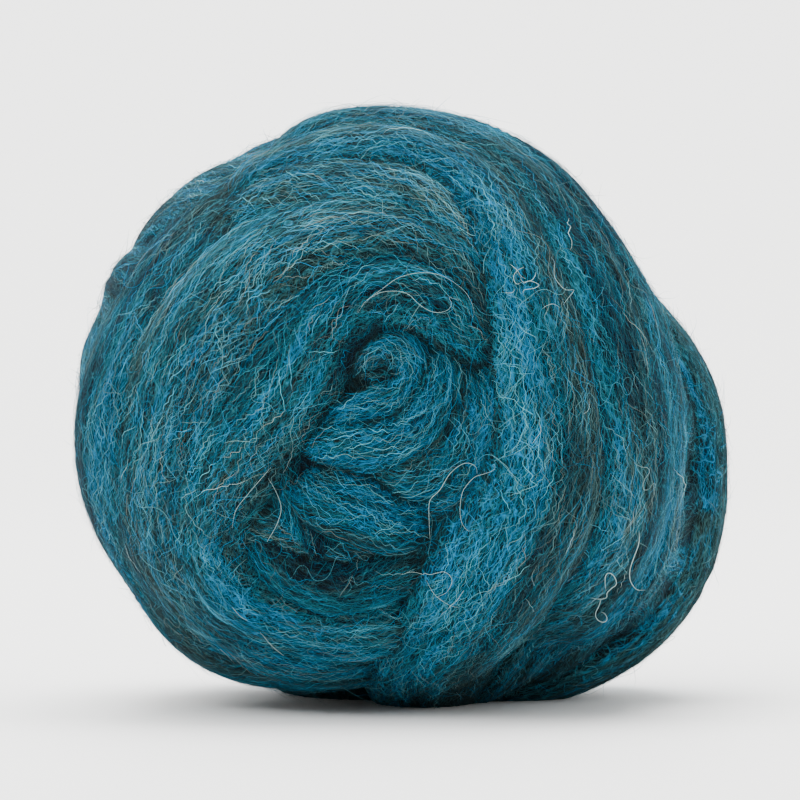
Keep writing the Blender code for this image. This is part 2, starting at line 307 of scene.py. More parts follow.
@dataclass(frozen=True)
class SightFrame:
    """The view that the bands are set out in: steps right of and above its middle, seen from a little above.

    Attributes:
        step: Length of one step, in metres.
        reach: A distance from the middle that is outside the ball on every side.
    """

    step: float = 0.000168
    middle: Triple = (-0.0008, 0.0, 0.0510)
    distance: float = 1.0
    tilt: float = math.radians(2)
    reach: float = 0.09

    @property
    def forward(self) -> Array:
        """The direction that the view looks in."""
        return np.array([0.0, math.cos(self.tilt), -math.sin(self.tilt)])

    @property
    def upward(self) -> Array:
        """The direction that is up in the view."""
        return np.array([0.0, math.sin(self.tilt), math.cos(self.tilt)])

    @property
    def eye(self) -> Array:
        """Where the view is seen from."""
        return np.array(self.middle) - self.distance * self.forward

    def lines(self, right: Array, up: Array) -> tuple[Array, Array]:
        """Sight lines through points of the view.

        Args:
            right: Steps to the right of the middle.
            up: Steps above it.

        Returns:
            The points on the upright sheet through the middle, and the unit directions of sight.
        """
        arms = np.outer(right, [1.0, 0.0, 0.0]) + np.outer(up, self.upward)
        places = np.array(self.middle) + self.step * arms
        return places, unit(places - self.eye)

    def seen(self, points: Array) -> Array:
        """Where points show in the view: their arms from the eye, shrunk by how far in front of it they are.

        Args:
            points: Points in front of the eye.

        Returns:
            A row of steps to the right of the view's middle and a row of steps above it.
        """
        arms = points - self.eye
        scale = self.distance / self.step / (arms @ self.forward)
        return np.stack([arms[:, 0] * scale, arms @ self.upward * scale])


@dataclass(frozen=True)
class Body:
    """What the outer turns are wound on: three rounded masses, with a hollow in the face for the centre.

    Attributes:
        blend: How softly the masses run into one another.
        wrap: Mean thickness of the turns over the masses.
        hollow_place: Middle of the hollow, in steps right of and above the view's middle.
    """

    front: Mass = Mass((-0.0050, -0.0064, 0.0514), (0.0450, 0.0370, 0.0428), 2.0)
    middle: Mass = Mass((-0.0040, 0.0064, 0.0500), (0.0415, 0.0340, 0.0405), 2.0)
    back: Mass = Mass((0.0046, 0.0106, 0.0380), (0.0436, 0.0316, 0.0350), 2.35)
    blend: float = 0.003
    wrap: float = 0.0068
    hollow_place: Pair = (-28, -40)
    hollow_radius: float = 0.021
    hollow_depth: float = 0.0054
    sight: SightFrame = SightFrame()

    def mass_reach(self, directions: Array, mass: Mass) -> Array:
        """Distance from the centre to a mass's surface.

        Args:
            directions: Unit directions from the centre.
            mass: The mass. Inside it, the three shares of its half sizes, raised to its roundness, sum to
                under 1.

        Returns:
            One distance for each direction.
        """
        def inside(distance: Array) -> Array:
            """Which points at those distances are in the mass."""
            points = CENTRE + directions * distance[:, None] - mass.centre
            return (np.abs(points / mass.half) ** mass.roundness).sum(axis=1) < 1

        return last_inside(inside, np.zeros(len(directions)), np.full(len(directions), self.sight.reach))

    def coil_reach(self, directions: Array) -> Array:
        """Distance from the centre to the surface of the three masses together.

        Args:
            directions: Unit directions from the centre.

        Returns:
            One distance for each direction.
        """
        reach = self.mass_reach(directions, self.front)
        for mass in (self.middle, self.back):
            reach = soft_max(reach, self.mass_reach(directions, mass), self.blend)
        return reach

    def sight_directions(self, side: Side, right: Array, up: Array) -> Array:
        """Unit directions from the centre to where sight lines meet the near or the far side of the ball.

        Args:
            side: Where each sight line is followed to.
            right: Steps right of the view's middle.
            up: Steps above it.

        Returns:
            One unit direction for each sight line.
        """
        places, sight = self.sight.lines(right, up)

        def inside(distance: Array) -> Array:
            """Which points at those distances along the sight lines are in the ball."""
            arms = places + sight * distance[:, None] - CENTRE
            return np.linalg.norm(arms, axis=1) <= self.coil_reach(unit(arms)) + self.wrap

        end = np.full(len(places), side.value * self.sight.reach)
        met = last_inside(inside, np.zeros(len(places)), end)
        return unit(places + sight * met[:, None] - CENTRE)

    def reach(self, directions: Array) -> Array:
        """Distance from the centre to the body's surface: the masses, less a flat-bottomed round hollow.

        Args:
            directions: Unit directions from the centre.

        Returns:
            One distance for each direction.
        """
        right, up = self.hollow_place
        hollow = self.sight_directions(Side.NEAR, np.array([right]), np.array([up]))[0]
        away = np.linalg.norm(directions - hollow, axis=1) * SIZE[1] / 2
        return self.coil_reach(directions) - self.hollow_depth * np.exp(-((away / self.hollow_radius) ** 4))

    def on_body(self, directions: Array) -> Array:
        """Points of the body's surface, counted from the centre."""
        return directions * self.reach(directions)[:, None]


@dataclass
class Route:
    """A turn's centre line on the body, with its crown height and half width at each point."""

    number: int
    closed: bool
    line: Array
    crowns: Array
    half_widths: Array
    stations: Array = field(init=False)
    tangents: Array = field(init=False)
    sides: Array = field(init=False)

    THICKNESS = 0.0055
    NARROW_FALL = 0.80
    EDGE_FALL = 3.5

    def __post_init__(self) -> None:
        """Works out the distance along the line, its direction and the way across it on the body."""
        runs = np.linalg.norm(np.diff(self.line, axis=0), axis=1)
        self.stations = np.concatenate([[0.0], np.cumsum(runs)])
        self.tangents = unit(np.gradient(self.line, axis=0))
        self.sides = unit(np.cross(unit(self.line), self.tangents))

    @property
    def length(self) -> float:
        """Length of the centre line."""
        return float(self.stations[-1])

    def height(self, away: Array, crown: Array, half_width: Array) -> Array:
        """Height over the body: a half oval across the band's width, which falls steeply past its edge.

        Args:
            away: Distance from the centre line.
            crown: Height at the centre line.
            half_width: Half of the band's width.

        Returns:
            The height at each distance.
        """
        fall = np.minimum(self.THICKNESS, half_width * self.NARROW_FALL)
        across = away / half_width
        inside = 1 - np.sqrt(1 - np.minimum(across, 1) ** 2)
        outside = self.EDGE_FALL * np.maximum(across - 1, 0)
        return crown - fall * (inside + outside)

    @staticmethod
    def between(values: Array, index: Array, share: Array) -> Array:
        """Values on the way from one point of the line to the next.

        Args:
            values: One value or one row for each point of the line.
            index: The point that each place lies after.
            share: How much of the way to the next point it has come.

        Returns:
            One value or one row for each place.
        """
        part = share[..., None] if values.ndim == 2 else share
        return values[index] * (1 - part) + values[index + 1] * part

    def nearest(self, points: Array) -> tuple[Array, Array, Array]:
        """Where each point lies beside the line.

        Args:
            points: Points on the body.

        Returns:
            The band's height there, the station, which goes straight on past an open end, and the signed
            distance across.
        """
        closest = (2 * points @ self.line.T - (self.line**2).sum(axis=1)).argmax(axis=1)
        best = np.full(len(points), np.inf)
        segment = np.zeros(len(points), int)
        share = np.zeros(len(points))
        for back in (1, 0):
            tried = np.clip(closest - back, 0, len(self.line) - 2)
            start = self.line[tried]
            run = self.line[tried + 1] - start
            along = np.clip(((points - start) * run).sum(axis=1) / (run**2).sum(axis=1), 0, 1)
            gap = np.linalg.norm(points - start - along[:, None] * run, axis=1)
            better = gap < best
            best = np.where(better, gap, best)
            segment = np.where(better, tried, segment)
            share = np.where(better, along, share)

        station = self.between(self.stations, segment, share)
        part = share[:, None]
        offset = points - self.line[segment] * (1 - part) - self.line[segment + 1] * part
        at_end = ((station <= 0) | (station >= self.length)) & (not self.closed)
        past = np.where(at_end, (offset * self.tangents[segment]).sum(axis=1), 0)
        side = np.sqrt(np.maximum(best**2 - past**2, 0))
        signed = np.copysign(side, (offset * self.sides[segment]).sum(axis=1))
        crown = self.between(self.crowns, segment, share)
        half_width = self.between(self.half_widths, segment, share)
        return self.height(best, crown, half_width), station + past, signed

    def place(self, station: Array, across: Array) -> tuple[Array, Array]:
        """Directions and heights of points of the band, given by their station and their distance across.

        Args:
            station: Distance along the centre line. Past an open end the line goes straight on.
            across: Signed distance from the centre line.

        Returns:
            Unit directions from the body's centre, and heights over the body.
        """
        held = station % self.length if self.closed else np.clip(station, 0, self.length)
        index = np.clip(np.searchsorted(self.stations, held, side="right") - 1, 0, len(self.line) - 2)
        share = (held - self.stations[index]) / (self.stations[index + 1] - self.stations[index])
        past = np.zeros_like(station) if self.closed else station - held
        arrays = (self.line, self.sides, self.tangents, self.crowns, self.half_widths)
        line, sides, tangents, crown, half_width = (self.between(values, index, share) for values in arrays)
        points = line + sides * across[..., None] + tangents * past[..., None]
        return unit(points), self.height(np.hypot(across, past), crown, half_width)


@dataclass(frozen=True)
class Winding:
    """All the turns of the strip, from the inner ones to the outer ones.

    Attributes:
        behind_crowns: Crown heights of a band's three knots behind.
        back_axis: Middle of the back coil.
        ring_wander: How far a ring's middle lies from the coil's.
        ring_turn: How far round that offset turns from one ring to the next.
        ring_rise: How much higher each next ring's crown is.
        skew: A direction that none of the rings' axes lies along.
    """

    body: Body = Body()
    step: float = 0.002
    behind_crowns: Triple = (0.0060, 0.0072, 0.0030)
    inner_turns: int = 15
    inner_half_width: float = 0.0100
    inner_crown: float = 0.0020
    back_axis: Triple = (0.24, 0.95, -0.12)
    back_rings: int = 5
    ring_first: float = 0.13
    ring_spacing: float = 0.27
    ring_wander: float = 0.07
    ring_turn: float = 2.3
    ring_half_width: float = 0.0088
    ring_crown: float = 0.0048
    ring_rise: float = 0.0003
    ring_points: int = 161
    skew: Triple = (0.3, 0.2, 0.9)

    def band_route(self, number: int, band: Band) -> Route:
        """A band's route: the smooth curve through its knots, and three mirrored ones if it goes behind.

        Args:
            number: Its place in the order of winding.
            band: The band.

        Returns:
            The route.
        """
        knots = np.array(band.knots, float)
        directions = self.body.sight_directions(band.side, knots[:, 0], knots[:, 1])
        rows = np.hstack([directions * SIZE[0] / 2, knots[:, 2:] * MM])
        if band.round_behind:
            count = len(rows)
            behind = rows[[count // 4, count // 2, count - 1 - count // 4]].copy()
            behind[:, :3] *= -1
            behind[:, 3] = self.behind_crowns
            rows = np.vstack([rows, behind])
        curve = smooth_curve(rows, band.round_behind, self.step)
        line = self.body.on_body(unit(curve[:, :3]))
        return Route(number, band.round_behind, line, curve[:, 3], curve[:, 4])

    def ring_route(self, number: int, axis: Array, radius: float, crown: float, half_width: float) -> Route:
        """A ring round an axis: the cosine of its radius along the axis, plus the sine on the ways round it.

        Args:
            number: Its place in the order of winding.
            axis: Unit direction of its middle.
            radius: Its radius, in radians.
            crown: Its crown height.
            half_width: Half of its width.

        Returns:
            The route.
        """
        first = unit(np.cross(axis, self.skew))
        second = np.cross(axis, first)
        turns = np.linspace(0, TURN, self.ring_points)[:, None]
        around = first * np.cos(turns) + second * np.sin(turns)
        line = self.body.on_body(axis * math.cos(radius) + around * math.sin(radius))
        return Route(number, True, line, np.full(len(line), crown), np.full(len(line), half_width))

    def inner_route(self, index: int) -> Route:
        """The great circle of one inner turn. Its pole goes round the ball by the golden angle.

        Args:
            index: Which inner turn, from 0.

        Returns:
            The route.
        """
        height = 1 - 2 * (index + 0.5) / self.inner_turns
        ring = math.sqrt(1 - height * height)
        turn = index * GOLDEN_ANGLE
        pole = np.array([ring * math.cos(turn), height, ring * math.sin(turn)])
        return self.ring_route(index, pole, math.pi / 2, self.inner_crown, self.inner_half_width)

    def back_route(self, index: int) -> Route:
        """One ring of the back coil, round an axis that goes round the coil's middle.

        Args:
            index: Which ring, from 0.

        Returns:
            The route.
        """
        turn = index * self.ring_turn
        wander = self.ring_wander * np.array([math.cos(turn), 0.0, math.sin(turn)])
        radius = self.ring_first + self.ring_spacing * index
        crown = self.ring_crown + self.ring_rise * index
        number = self.inner_turns + index
        return self.ring_route(number, unit(self.back_axis + wander), radius, crown, self.ring_half_width)

    def routes(self) -> list[Route]:
        """Every turn's route, numbered in the order of winding.

        Returns:
            The inner turns, the back rings and the bands.
        """
        made = [self.inner_route(index) for index in range(self.inner_turns)]
        made += [self.back_route(index) for index in range(self.back_rings)]
        return made + [self.band_route(len(made) + i, band) for i, band in enumerate(BANDS)]


@dataclass(frozen=True)
class Relief:
    """The locks and strands that stand up along a band: stretched noise, bent a little from side to side.

    Attributes:
        lock: Length and width of the locks' cells, and their height.
        strand: The same of the strands.
        bend: The same of the bends, which move the others sideways.
        band_shift: How far each turn's pattern lies from the one before, in cells.
        layer_shift: How far each layer lies from the one before, along and across.
    """

    lock: Triple = (0.024, 0.0026, 0.00034)
    strand: Triple = (0.013, 0.0011, 0.00016)
    bend: Triple = (0.010, 0.0040, 0.0009)
    band_shift: float = 17.31
    layer_shift: Pair = (41.7, 9.3)
    noise: ValueNoise = ValueNoise(11)

    def height(self, number: Array | int, station: Array, across: Array) -> Array:
        """Height of the relief: ridges of noise, 1 less twice its size, in long cells along the band.

        Args:
            number: The turn's number, which moves its pattern elsewhere on the noise.
            station: Distance along the band.
            across: Distance across it.

        Returns:
            Heights in metres, about zero.
        """
        shift = number * self.band_shift
        further, sideways = self.layer_shift
        bent = across + self.bend[2] * self.noise(station / self.bend[0] + shift, across / self.bend[1])
        total = np.zeros_like(bent)
        for i, (length, width, height) in enumerate((self.lock, self.strand)):
            value = self.noise(station / length + shift + further * (i + 1), bent / width + sideways * i)
            total = total + height * (1 - 2 * np.abs(value))
        return total


class CastGrid:
    """A cube's grid of cells cast on to the ball, with finer cells at the face than at the back.

    Attributes:
        cells: Cells along each side of the cube.
        gather: How much finer the cells are at the face.
        ids: The point number at each corner of the cells, by side of the cube, column and row.
        directions: Unit direction of each point from the centre.
    """

    FACES = (((1, 0, 0), (0, 1, 0)), ((-1, 0, 0), (0, 0, 1)), ((0, 1, 0), (0, 0, 1)),
             ((0, -1, 0), (1, 0, 0)), ((0, 0, 1), (1, 0, 0)), ((0, 0, -1), (0, 1, 0)))
    SPREAD_ROWS = 4001
    ATLAS_MARGIN = 0.02

    def __init__(self, cells: int, gather: float) -> None:
        """Lays out the grid: the tangents of even angles on each side of the cube, with shared edges merged.

        Args:
            cells: Cells along each side of the cube.
            gather: How much finer the cells are at the face.
        """
        self.cells = cells
        self.gather = gather
        steps = np.arange(cells + 1)
        even = np.tan((2 * steps / cells - 1) * math.pi / 4)
        keys, points = [], []
        for out, across in self.FACES:
            up = np.cross(out, across)
            i, j = np.meshgrid(steps, steps, indexing="ij")
            cube = cells * (np.array(out) + 1) / 2
            lattice = cube + i[..., None] * np.array(across) + j[..., None] * up
            lattice = lattice + np.where(np.array(across) + up < 0, cells, 0) * 1.0
            lattice = np.where(np.array(out) == 0, lattice - cells / 2, lattice)
            keys.append(np.round(lattice).astype(int))
            points.append(np.array(out) + even[:, None, None] * np.array(across) + even[None, :, None] * up)
        flat_keys = np.concatenate([k.reshape(-1, 3) for k in keys])
        codes = flat_keys @ np.array([(cells + 1) ** 2, cells + 1, 1])
        _, first, back = np.unique(codes, return_index=True, return_inverse=True)
        raw = unit(np.concatenate([p.reshape(-1, 3) for p in points])[first])
        self.ids = back.reshape(6, cells + 1, cells + 1)
        self.directions = self.gathered(raw)

    def gathered(self, directions: Array) -> Array:
        """Unit directions drawn towards the face: the turn from -Y less its sine times the gather."""
        turn = np.arccos(np.clip(-directions[..., 1], -1, 1))
        return self.turned(directions, turn - self.gather * np.sin(turn))

    def spread(self, directions: Array) -> Array:
        """The opposite of gathered, read from a table of turns.

        Args:
            directions: Unit directions of the finished grid.

        Returns:
            The same directions on the even cube.
        """
        table = np.linspace(0, math.pi, self.SPREAD_ROWS)
        drawn = np.arccos(np.clip(-directions[..., 1], -1, 1))
        return self.turned(directions, np.interp(drawn, table - self.gather * np.sin(table), table))

    @staticmethod
    def turned(directions: Array, turn: Array) -> Array:
        """Directions moved along their lines of longitude: the turn's sine round -Y, its cosine along it.

        Args:
            directions: Unit directions.
            turn: The turn from -Y that each is moved to.

        Returns:
            The moved directions.
        """
        ring = np.maximum(np.hypot(directions[..., 0], directions[..., 2]), 1e-9)
        side = np.sin(turn) / ring
        return np.stack([directions[..., 0] * side, -np.cos(turn), directions[..., 2] * side], axis=-1)

    def sample(self, directions: Array, values: Array) -> Array:
        """Values of the grid's points along any directions, read between the four nearest points.

        Args:
            directions: Unit directions.
            values: One value for each point of the grid.

        Returns:
            One value for each direction.
        """
        raw = self.spread(directions)
        outs = np.array([out for out, _ in self.FACES], float)
        face = (raw @ outs.T).argmax(axis=-1)
        across = np.array([a for _, a in self.FACES], float)[face]
        up = np.array([np.cross(o, a) for o, a in self.FACES], float)[face]
        depth = (raw * outs[face]).sum(axis=-1)
        places = []
        for way in (across, up):
            slope = (raw * way).sum(axis=-1) / depth
            places.append((np.arctan(slope) * 4 / math.pi + 1) / 2 * self.cells)
        low = [np.clip(np.floor(p).astype(int), 0, self.cells - 1) for p in places]
        part = [np.clip(p - b, 0, 1) for p, b in zip(places, low)]
        found = np.zeros(raw.shape[:-1])
        for i in (0, 1):
            for j in (0, 1):
                weight = (part[0] if i else 1 - part[0]) * (part[1] if j else 1 - part[1])
                found = found + weight * values[self.ids[face, low[0] + i, low[1] + j]]
        return found

    def quads(self) -> Array:
        """The grid's faces, each four point numbers that go round as seen from outside."""
        ids = self.ids
        corners = (ids[:, :-1, :-1], ids[:, 1:, :-1], ids[:, 1:, 1:], ids[:, :-1, 1:])
        return np.stack(corners, axis=-1).reshape(-1, 4)

    def atlas(self) -> Array:
        """A flat map of the faces: the cube's six sides, three across and two up, each inside a margin.

        Returns:
            Two numbers for each corner of each face.
        """
        margin = self.ATLAS_MARGIN
        steps = margin + (1 - 2 * margin) * np.arange(self.cells + 1) / self.cells
        corners = []
        for k in range(6):
            u, v = np.meshgrid((k % 3 + steps) / 3, (k // 3 + steps) / 2, indexing="ij")
            grid = np.stack([u, v], axis=-1)
            corners.append(np.stack([grid[:-1, :-1], grid[1:, :-1], grid[1:, 1:], grid[:-1, 1:]], axis=2))
        return np.concatenate([c.reshape(-1, 4, 2) for c in corners]).reshape(-1, 2)


class WoundForm:
    """The finished surface of the ball on a fine grid, and what lies where on it.

    Attributes:
        reach: Distance from the centre to the body at each point.
        number: The turn that is on top there.
        beside: The turn that comes next to it in height.
        station: Distance along the turn on top.
        across: Signed distance from its centre line.
        crease: 1 where both turns are equally high, and less where one stands well above the other.
        fold_painted_shade: How dark the painted shade of the fold is there, from the table of folds.
        radius: Distance from the centre to the finished surface.
        low: Least X, Y and Z of the plain form.
        high: Most X, Y and Z of it.
        points: The points at the ball's size.
        cavity: How far each point lies below its neighbourhood.
    """

    CREASE_SOFTNESS = 0.0005
    CREASE_REACH = 0.0011
    CREASE_PRESS = 0.7
    SMOOTHINGS = 50
    FACE_DEPTH = 0.03
    BACK_LEAST = -0.2
    FOLD_THIN = 0.9
    BARE_HEIGHT = 0.0012

    def __init__(self, winding: Winding, relief: Relief, cells: int, gather: float) -> None:
        """Winds the turns on the body and keeps, for each point, the turn that is on top there.

        Args:
            winding: The turns and the body.
            relief: The locks and strands on them.
            cells: Cells along each side of the grid's cube.
            gather: How much finer the cells are at the face.
        """
        self.body = winding.body
        self.relief = relief
        self.routes = winding.routes()
        self.grid = CastGrid(cells, gather)
        directions = self.grid.directions
        self.reach = self.body.reach(directions)
        points = directions * self.reach[:, None]
        count = len(points)
        height = np.zeros(count)
        top = np.full(count, -1.0)
        under = np.full(count, -1.0)
        self.number = np.zeros(count, int)
        self.beside = np.zeros(count, int)
        self.station = np.zeros(count)
        self.across = np.zeros(count)
        for route in self.routes:
            laid, station, across = route.nearest(points)
            height = soft_max(height, laid, self.CREASE_SOFTNESS)
            above = laid > top
            self.beside = np.where(above, self.number, np.where(laid > under, route.number, self.beside))
            under = np.where(above, top, np.maximum(under, laid))
            top = np.where(above, laid, top)
            self.number = np.where(above, route.number, self.number)
            self.station = np.where(above, station, self.station)
            self.across = np.where(above, across, self.across)
        gap = np.maximum(top - np.maximum(under, 0), 0)
        self.crease = np.exp(-gap / self.CREASE_REACH)
        numbers = {band.name: len(self.routes) - len(BANDS) + i for i, band in enumerate(BANDS)}
        # Painted shade of the folds, taken from the table of folds.
        self.fold_painted_shade = np.zeros(count)
        lower, upper = np.minimum(self.number, self.beside), np.maximum(self.number, self.beside)
        for fold in FOLDS:
            first, second = sorted((numbers[fold.first], numbers[fold.second]))
            met = (lower == first) & (upper == second)
            self.fold_painted_shade = np.where(met, fold.dark * np.exp(-gap / (fold.reach * MM)), self.fold_painted_shade)
        pressed = 1 - self.CREASE_PRESS * self.crease
        raised = relief.height(self.number, self.station, self.across) * pressed
        plain = self.reach + height
        self.radius = plain + raised
        unsized = CENTRE + directions * plain[:, None]
        unsized[:, 2] = np.maximum(unsized[:, 2], 0)
        self.low, self.high = unsized.min(axis=0), unsized.max(axis=0)
        self.points = self.placed(directions, self.radius)
        self.cavity = self.hollowness(plain)

    def placed(self, directions: Array, radius: Array) -> Array:
        """Points at the ball's size, with the origin under its middle and nothing under the floor.

        Args:
            directions: Unit directions from the centre.
            radius: Distance from the centre along each.

        Returns:
            The points.
        """
        points = CENTRE + directions * radius[..., None]
        points[..., 2] = np.maximum(points[..., 2], 0)
        size = np.array(SIZE)
        points = (points - self.low) * size / (self.high - self.low)
        return points - np.array([size[0] / 2, size[1] / 2, 0])

    def hollowness(self, radius: Array) -> Array:
        """How far each point lies below its neighbourhood: the radius smoothed many times, less the radius.

        Args:
            radius: Distance from the centre to each point.

        Returns:
            One depth for each point, in metres.
        """
        quads = self.grid.quads()
        edges = np.vstack([quads[:, [0, 1]], quads[:, [1, 2]]])
        count = np.bincount(edges.ravel(), minlength=len(radius))
        smooth = radius.copy()
        for _ in range(self.SMOOTHINGS):
            total = np.bincount(edges[:, 0], smooth[edges[:, 1]], len(radius))
            total += np.bincount(edges[:, 1], smooth[edges[:, 0]], len(radius))
            smooth = total / count
        return smooth - radius

    def skin_radius(self, directions: Array) -> Array:
        """Distance from the centre to the finished surface along any directions."""
        return self.grid.sample(directions, self.radius)

    def roots(self, rng: np.random.Generator, count: int, face_share: float) -> Array:
        """Grid points to lay hairs over, picked by the area round each, and none close to the floor.

        Args:
            rng: Random numbers.
            count: How many.
            face_share: How many more to give the face than the back.

        Returns:
            The numbers of the points.
        """
        quads = self.grid.quads()
        p = self.points[quads]
        area = np.linalg.norm(np.cross(p[:, 2] - p[:, 0], p[:, 3] - p[:, 1]), axis=1) / 2
        weight = np.bincount(quads.ravel(), np.repeat(area, 4), len(self.points))
        facing = np.clip(-self.points[:, 1] / self.FACE_DEPTH, self.BACK_LEAST, 1)
        weight *= (1 + face_share * facing) * (1 - self.FOLD_THIN * self.fold_painted_shade)
        weight[self.points[:, 2] < self.BARE_HEIGHT] = 0
        return rng.choice(len(weight), count, p=weight / weight.sum())


class Tone(Enum):
    """Places of the heather's colours along the chart's tone axis."""

    OLIVE = 0.02
    NAVY = 0.14
    DEEP_TEAL = 0.28
    TEAL = 0.42
    AZURE = 0.56
    PALE_TEAL = 0.68
    GREY_GREEN = 0.78
    TAN = 0.88
    CREAM = 0.98


TONE_COLOURS = {
    Tone.OLIVE: (0.014, 0.026, 0.023, 1.0),
    Tone.NAVY: (0.002, 0.020, 0.046, 1.0),
    Tone.DEEP_TEAL: (0.006, 0.058, 0.088, 1.0),
    Tone.TEAL: (0.014, 0.138, 0.174, 1.0),
    Tone.AZURE: (0.004, 0.160, 0.340, 1.0),
    Tone.PALE_TEAL: (0.080, 0.320, 0.380, 1.0),
    Tone.GREY_GREEN: (0.095, 0.190, 0.185, 1.0),
    Tone.TAN: (0.125, 0.130, 0.098, 1.0),
    Tone.CREAM: (0.420, 0.590, 0.570, 1.0),
}
UNDYED_MIX = (0.024, 0.072, 0.072, 1.0)
# The undyed and off-colour fibres of the heather, with the share of each among them.
ODD_FIBRES = {Tone.GREY_GREEN: 0.66, Tone.TAN: 0.10, Tone.OLIVE: 0.22, Tone.CREAM: 0.02}


class Tint(NamedTuple):
    """How one band's wool differs from the rest.

    Attributes:
        tone: Distance along the tone axis.
        shade: How much brighter it is.
        undyed: More of its fibres that are undyed.
        lean: How much bluer it grows towards its left edge.
    """

    tone: float
    shade: float
    undyed: float
    lean: float


PLAIN_TINT = Tint(0.0, 0.0, 0.0, 0.0)
# Painted light: the last inner turn is brightened in its colour where it shows on the right, which the lamps
# leave darker; its undyed share is its own wool.
LAST_INNER_TINT_AND_PAINTED_LIGHT = Tint(0.0, 0.34, 0.16, 0.0)
BAND_TINTS = {
    "kernel": Tint(0.05, 0.05, -0.04, 0.0),
    "curl": Tint(0.07, -0.12, -0.06, 0.0),
    "fan": Tint(0.03, 0.00, 0.02, 0.0),
    "apron": Tint(0.05, -0.18, -0.02, 0.0),
    "cheek": Tint(0.08, -0.20, -0.08, 0.0),
    "pillow": Tint(0.03, -0.28, -0.02, 0.0),
    "cradle": Tint(0.02, -0.05, -0.02, 0.0),
    "collar": Tint(0.01, 0.16, 0.08, 0.0),
    "shoulder": Tint(0.01, 0.08, 0.10, 0.0),
    "rim": Tint(0.01, 0.08, 0.07, 0.0),
    "main": Tint(0.03, -0.08, 0.01, 0.14),
    "second": Tint(0.01, 0.04, 0.00, 0.0),
    # Painted light: the far outer band is brightened in its colour against the lamps.
    "outer": Tint(0.01, 1.10, 0.02, 0.0),
}


class Layer(NamedTuple):
    """A layer of noise: its cells' length and width, its strength, and where it starts, in cells."""

    length: float
    width: float
    strength: float
    shift: float


@dataclass(frozen=True)
class Heather:
    """Which wool lies where: long locks and wider patches of one colour along each band.

    Attributes:
        first_band: Number of the first turn that has a name.
        band_shift: How far each turn's pattern lies from the one before, along, across and for its bend.
        bend_start: Where on the noise the bends start.
        bend_rate: How many bends there are for each cell along.
        bend: How far a bend moves the pattern sideways, in cells.
        lean_width: Distance from the centre line at which a band's lean is full.
        lean_shade: Share of the lean that brightens.
        lean_undyed: Share of the lean that takes away undyed fibres.
    """

    first_band: int
    middle: float = 0.41
    bright: float = 0.68
    undyed: float = 0.12
    lock: Layer = Layer(0.024, 0.0021, 0.24, 0.0)
    patch: Layer = Layer(0.044, 0.0070, 0.14, 31.3)
    light: Layer = Layer(0.018, 0.0026, 0.28, 67.9)
    grey: Layer = Layer(0.030, 0.0034, 0.26, 93.1)
    noise: ValueNoise = ValueNoise(29)
    band_shift: Triple = (13.7, 5.1, 1.7)
    bend_start: float = 50.5
    bend_rate: float = 2.1
    bend_width: float = 0.006
    bend: float = 0.5
    lean_width: float = 0.005
    lean_shade: float = 0.8
    lean_undyed: float = 2.0
    tones: Pair = (0.08, 0.56)
    undyed_shares: Pair = (0.02, 0.75)

    def layer(self, layer: Layer, number: Array, station: Array, across: Array) -> Array:
        """One layer of noise: its strength times the noise of its cells, which bend from side to side.

        Args:
            layer: Its sizes.
            number: Number of the band on top at each place.
            station: Distance along it.
            across: Distance across it.

        Returns:
            One value for each place.
        """
        further, sideways, bend_shift = self.band_shift
        along = station / layer.length + number * further + layer.shift
        place = (along * self.bend_rate + self.bend_start, number * bend_shift + across / self.bend_width)
        bent = across / layer.width + number * sideways + self.noise(*place) * self.bend
        return layer.strength * self.noise(along, bent)

    def wool(self, number: Array, station: Array, across: Array) -> Array:
        """What the wool is like at places on the bands.

        Args:
            number: Number of the band on top at each place.
            station: Distance along it.
            across: Distance across it.

        Returns:
            Rows of the tone, about 0.4, the shade, about 0.6, and the share of undyed fibres.
        """
        inner = [PLAIN_TINT] * (self.first_band - 1) + [LAST_INNER_TINT_AND_PAINTED_LIGHT]
        tints = inner + [BAND_TINTS.get(band.name, PLAIN_TINT) for band in BANDS]
        tint = np.array(tints)[number]
        left = -tint[..., 3] * np.clip(across / self.lean_width, -1, 1)
        layers = (self.lock, self.patch, self.light, self.grey)
        lock, patch, light, grey = (self.layer(layer, number, station, across) for layer in layers)
        tone = self.middle + tint[..., 0] + left + lock + patch
        shade = self.bright * (1 + tint[..., 1] + self.lean_shade * left + light)
        undyed = self.undyed + tint[..., 2] - self.lean_undyed * left + grey
        return np.stack([np.clip(tone, *self.tones), shade, np.clip(undyed, *self.undyed_shares)])


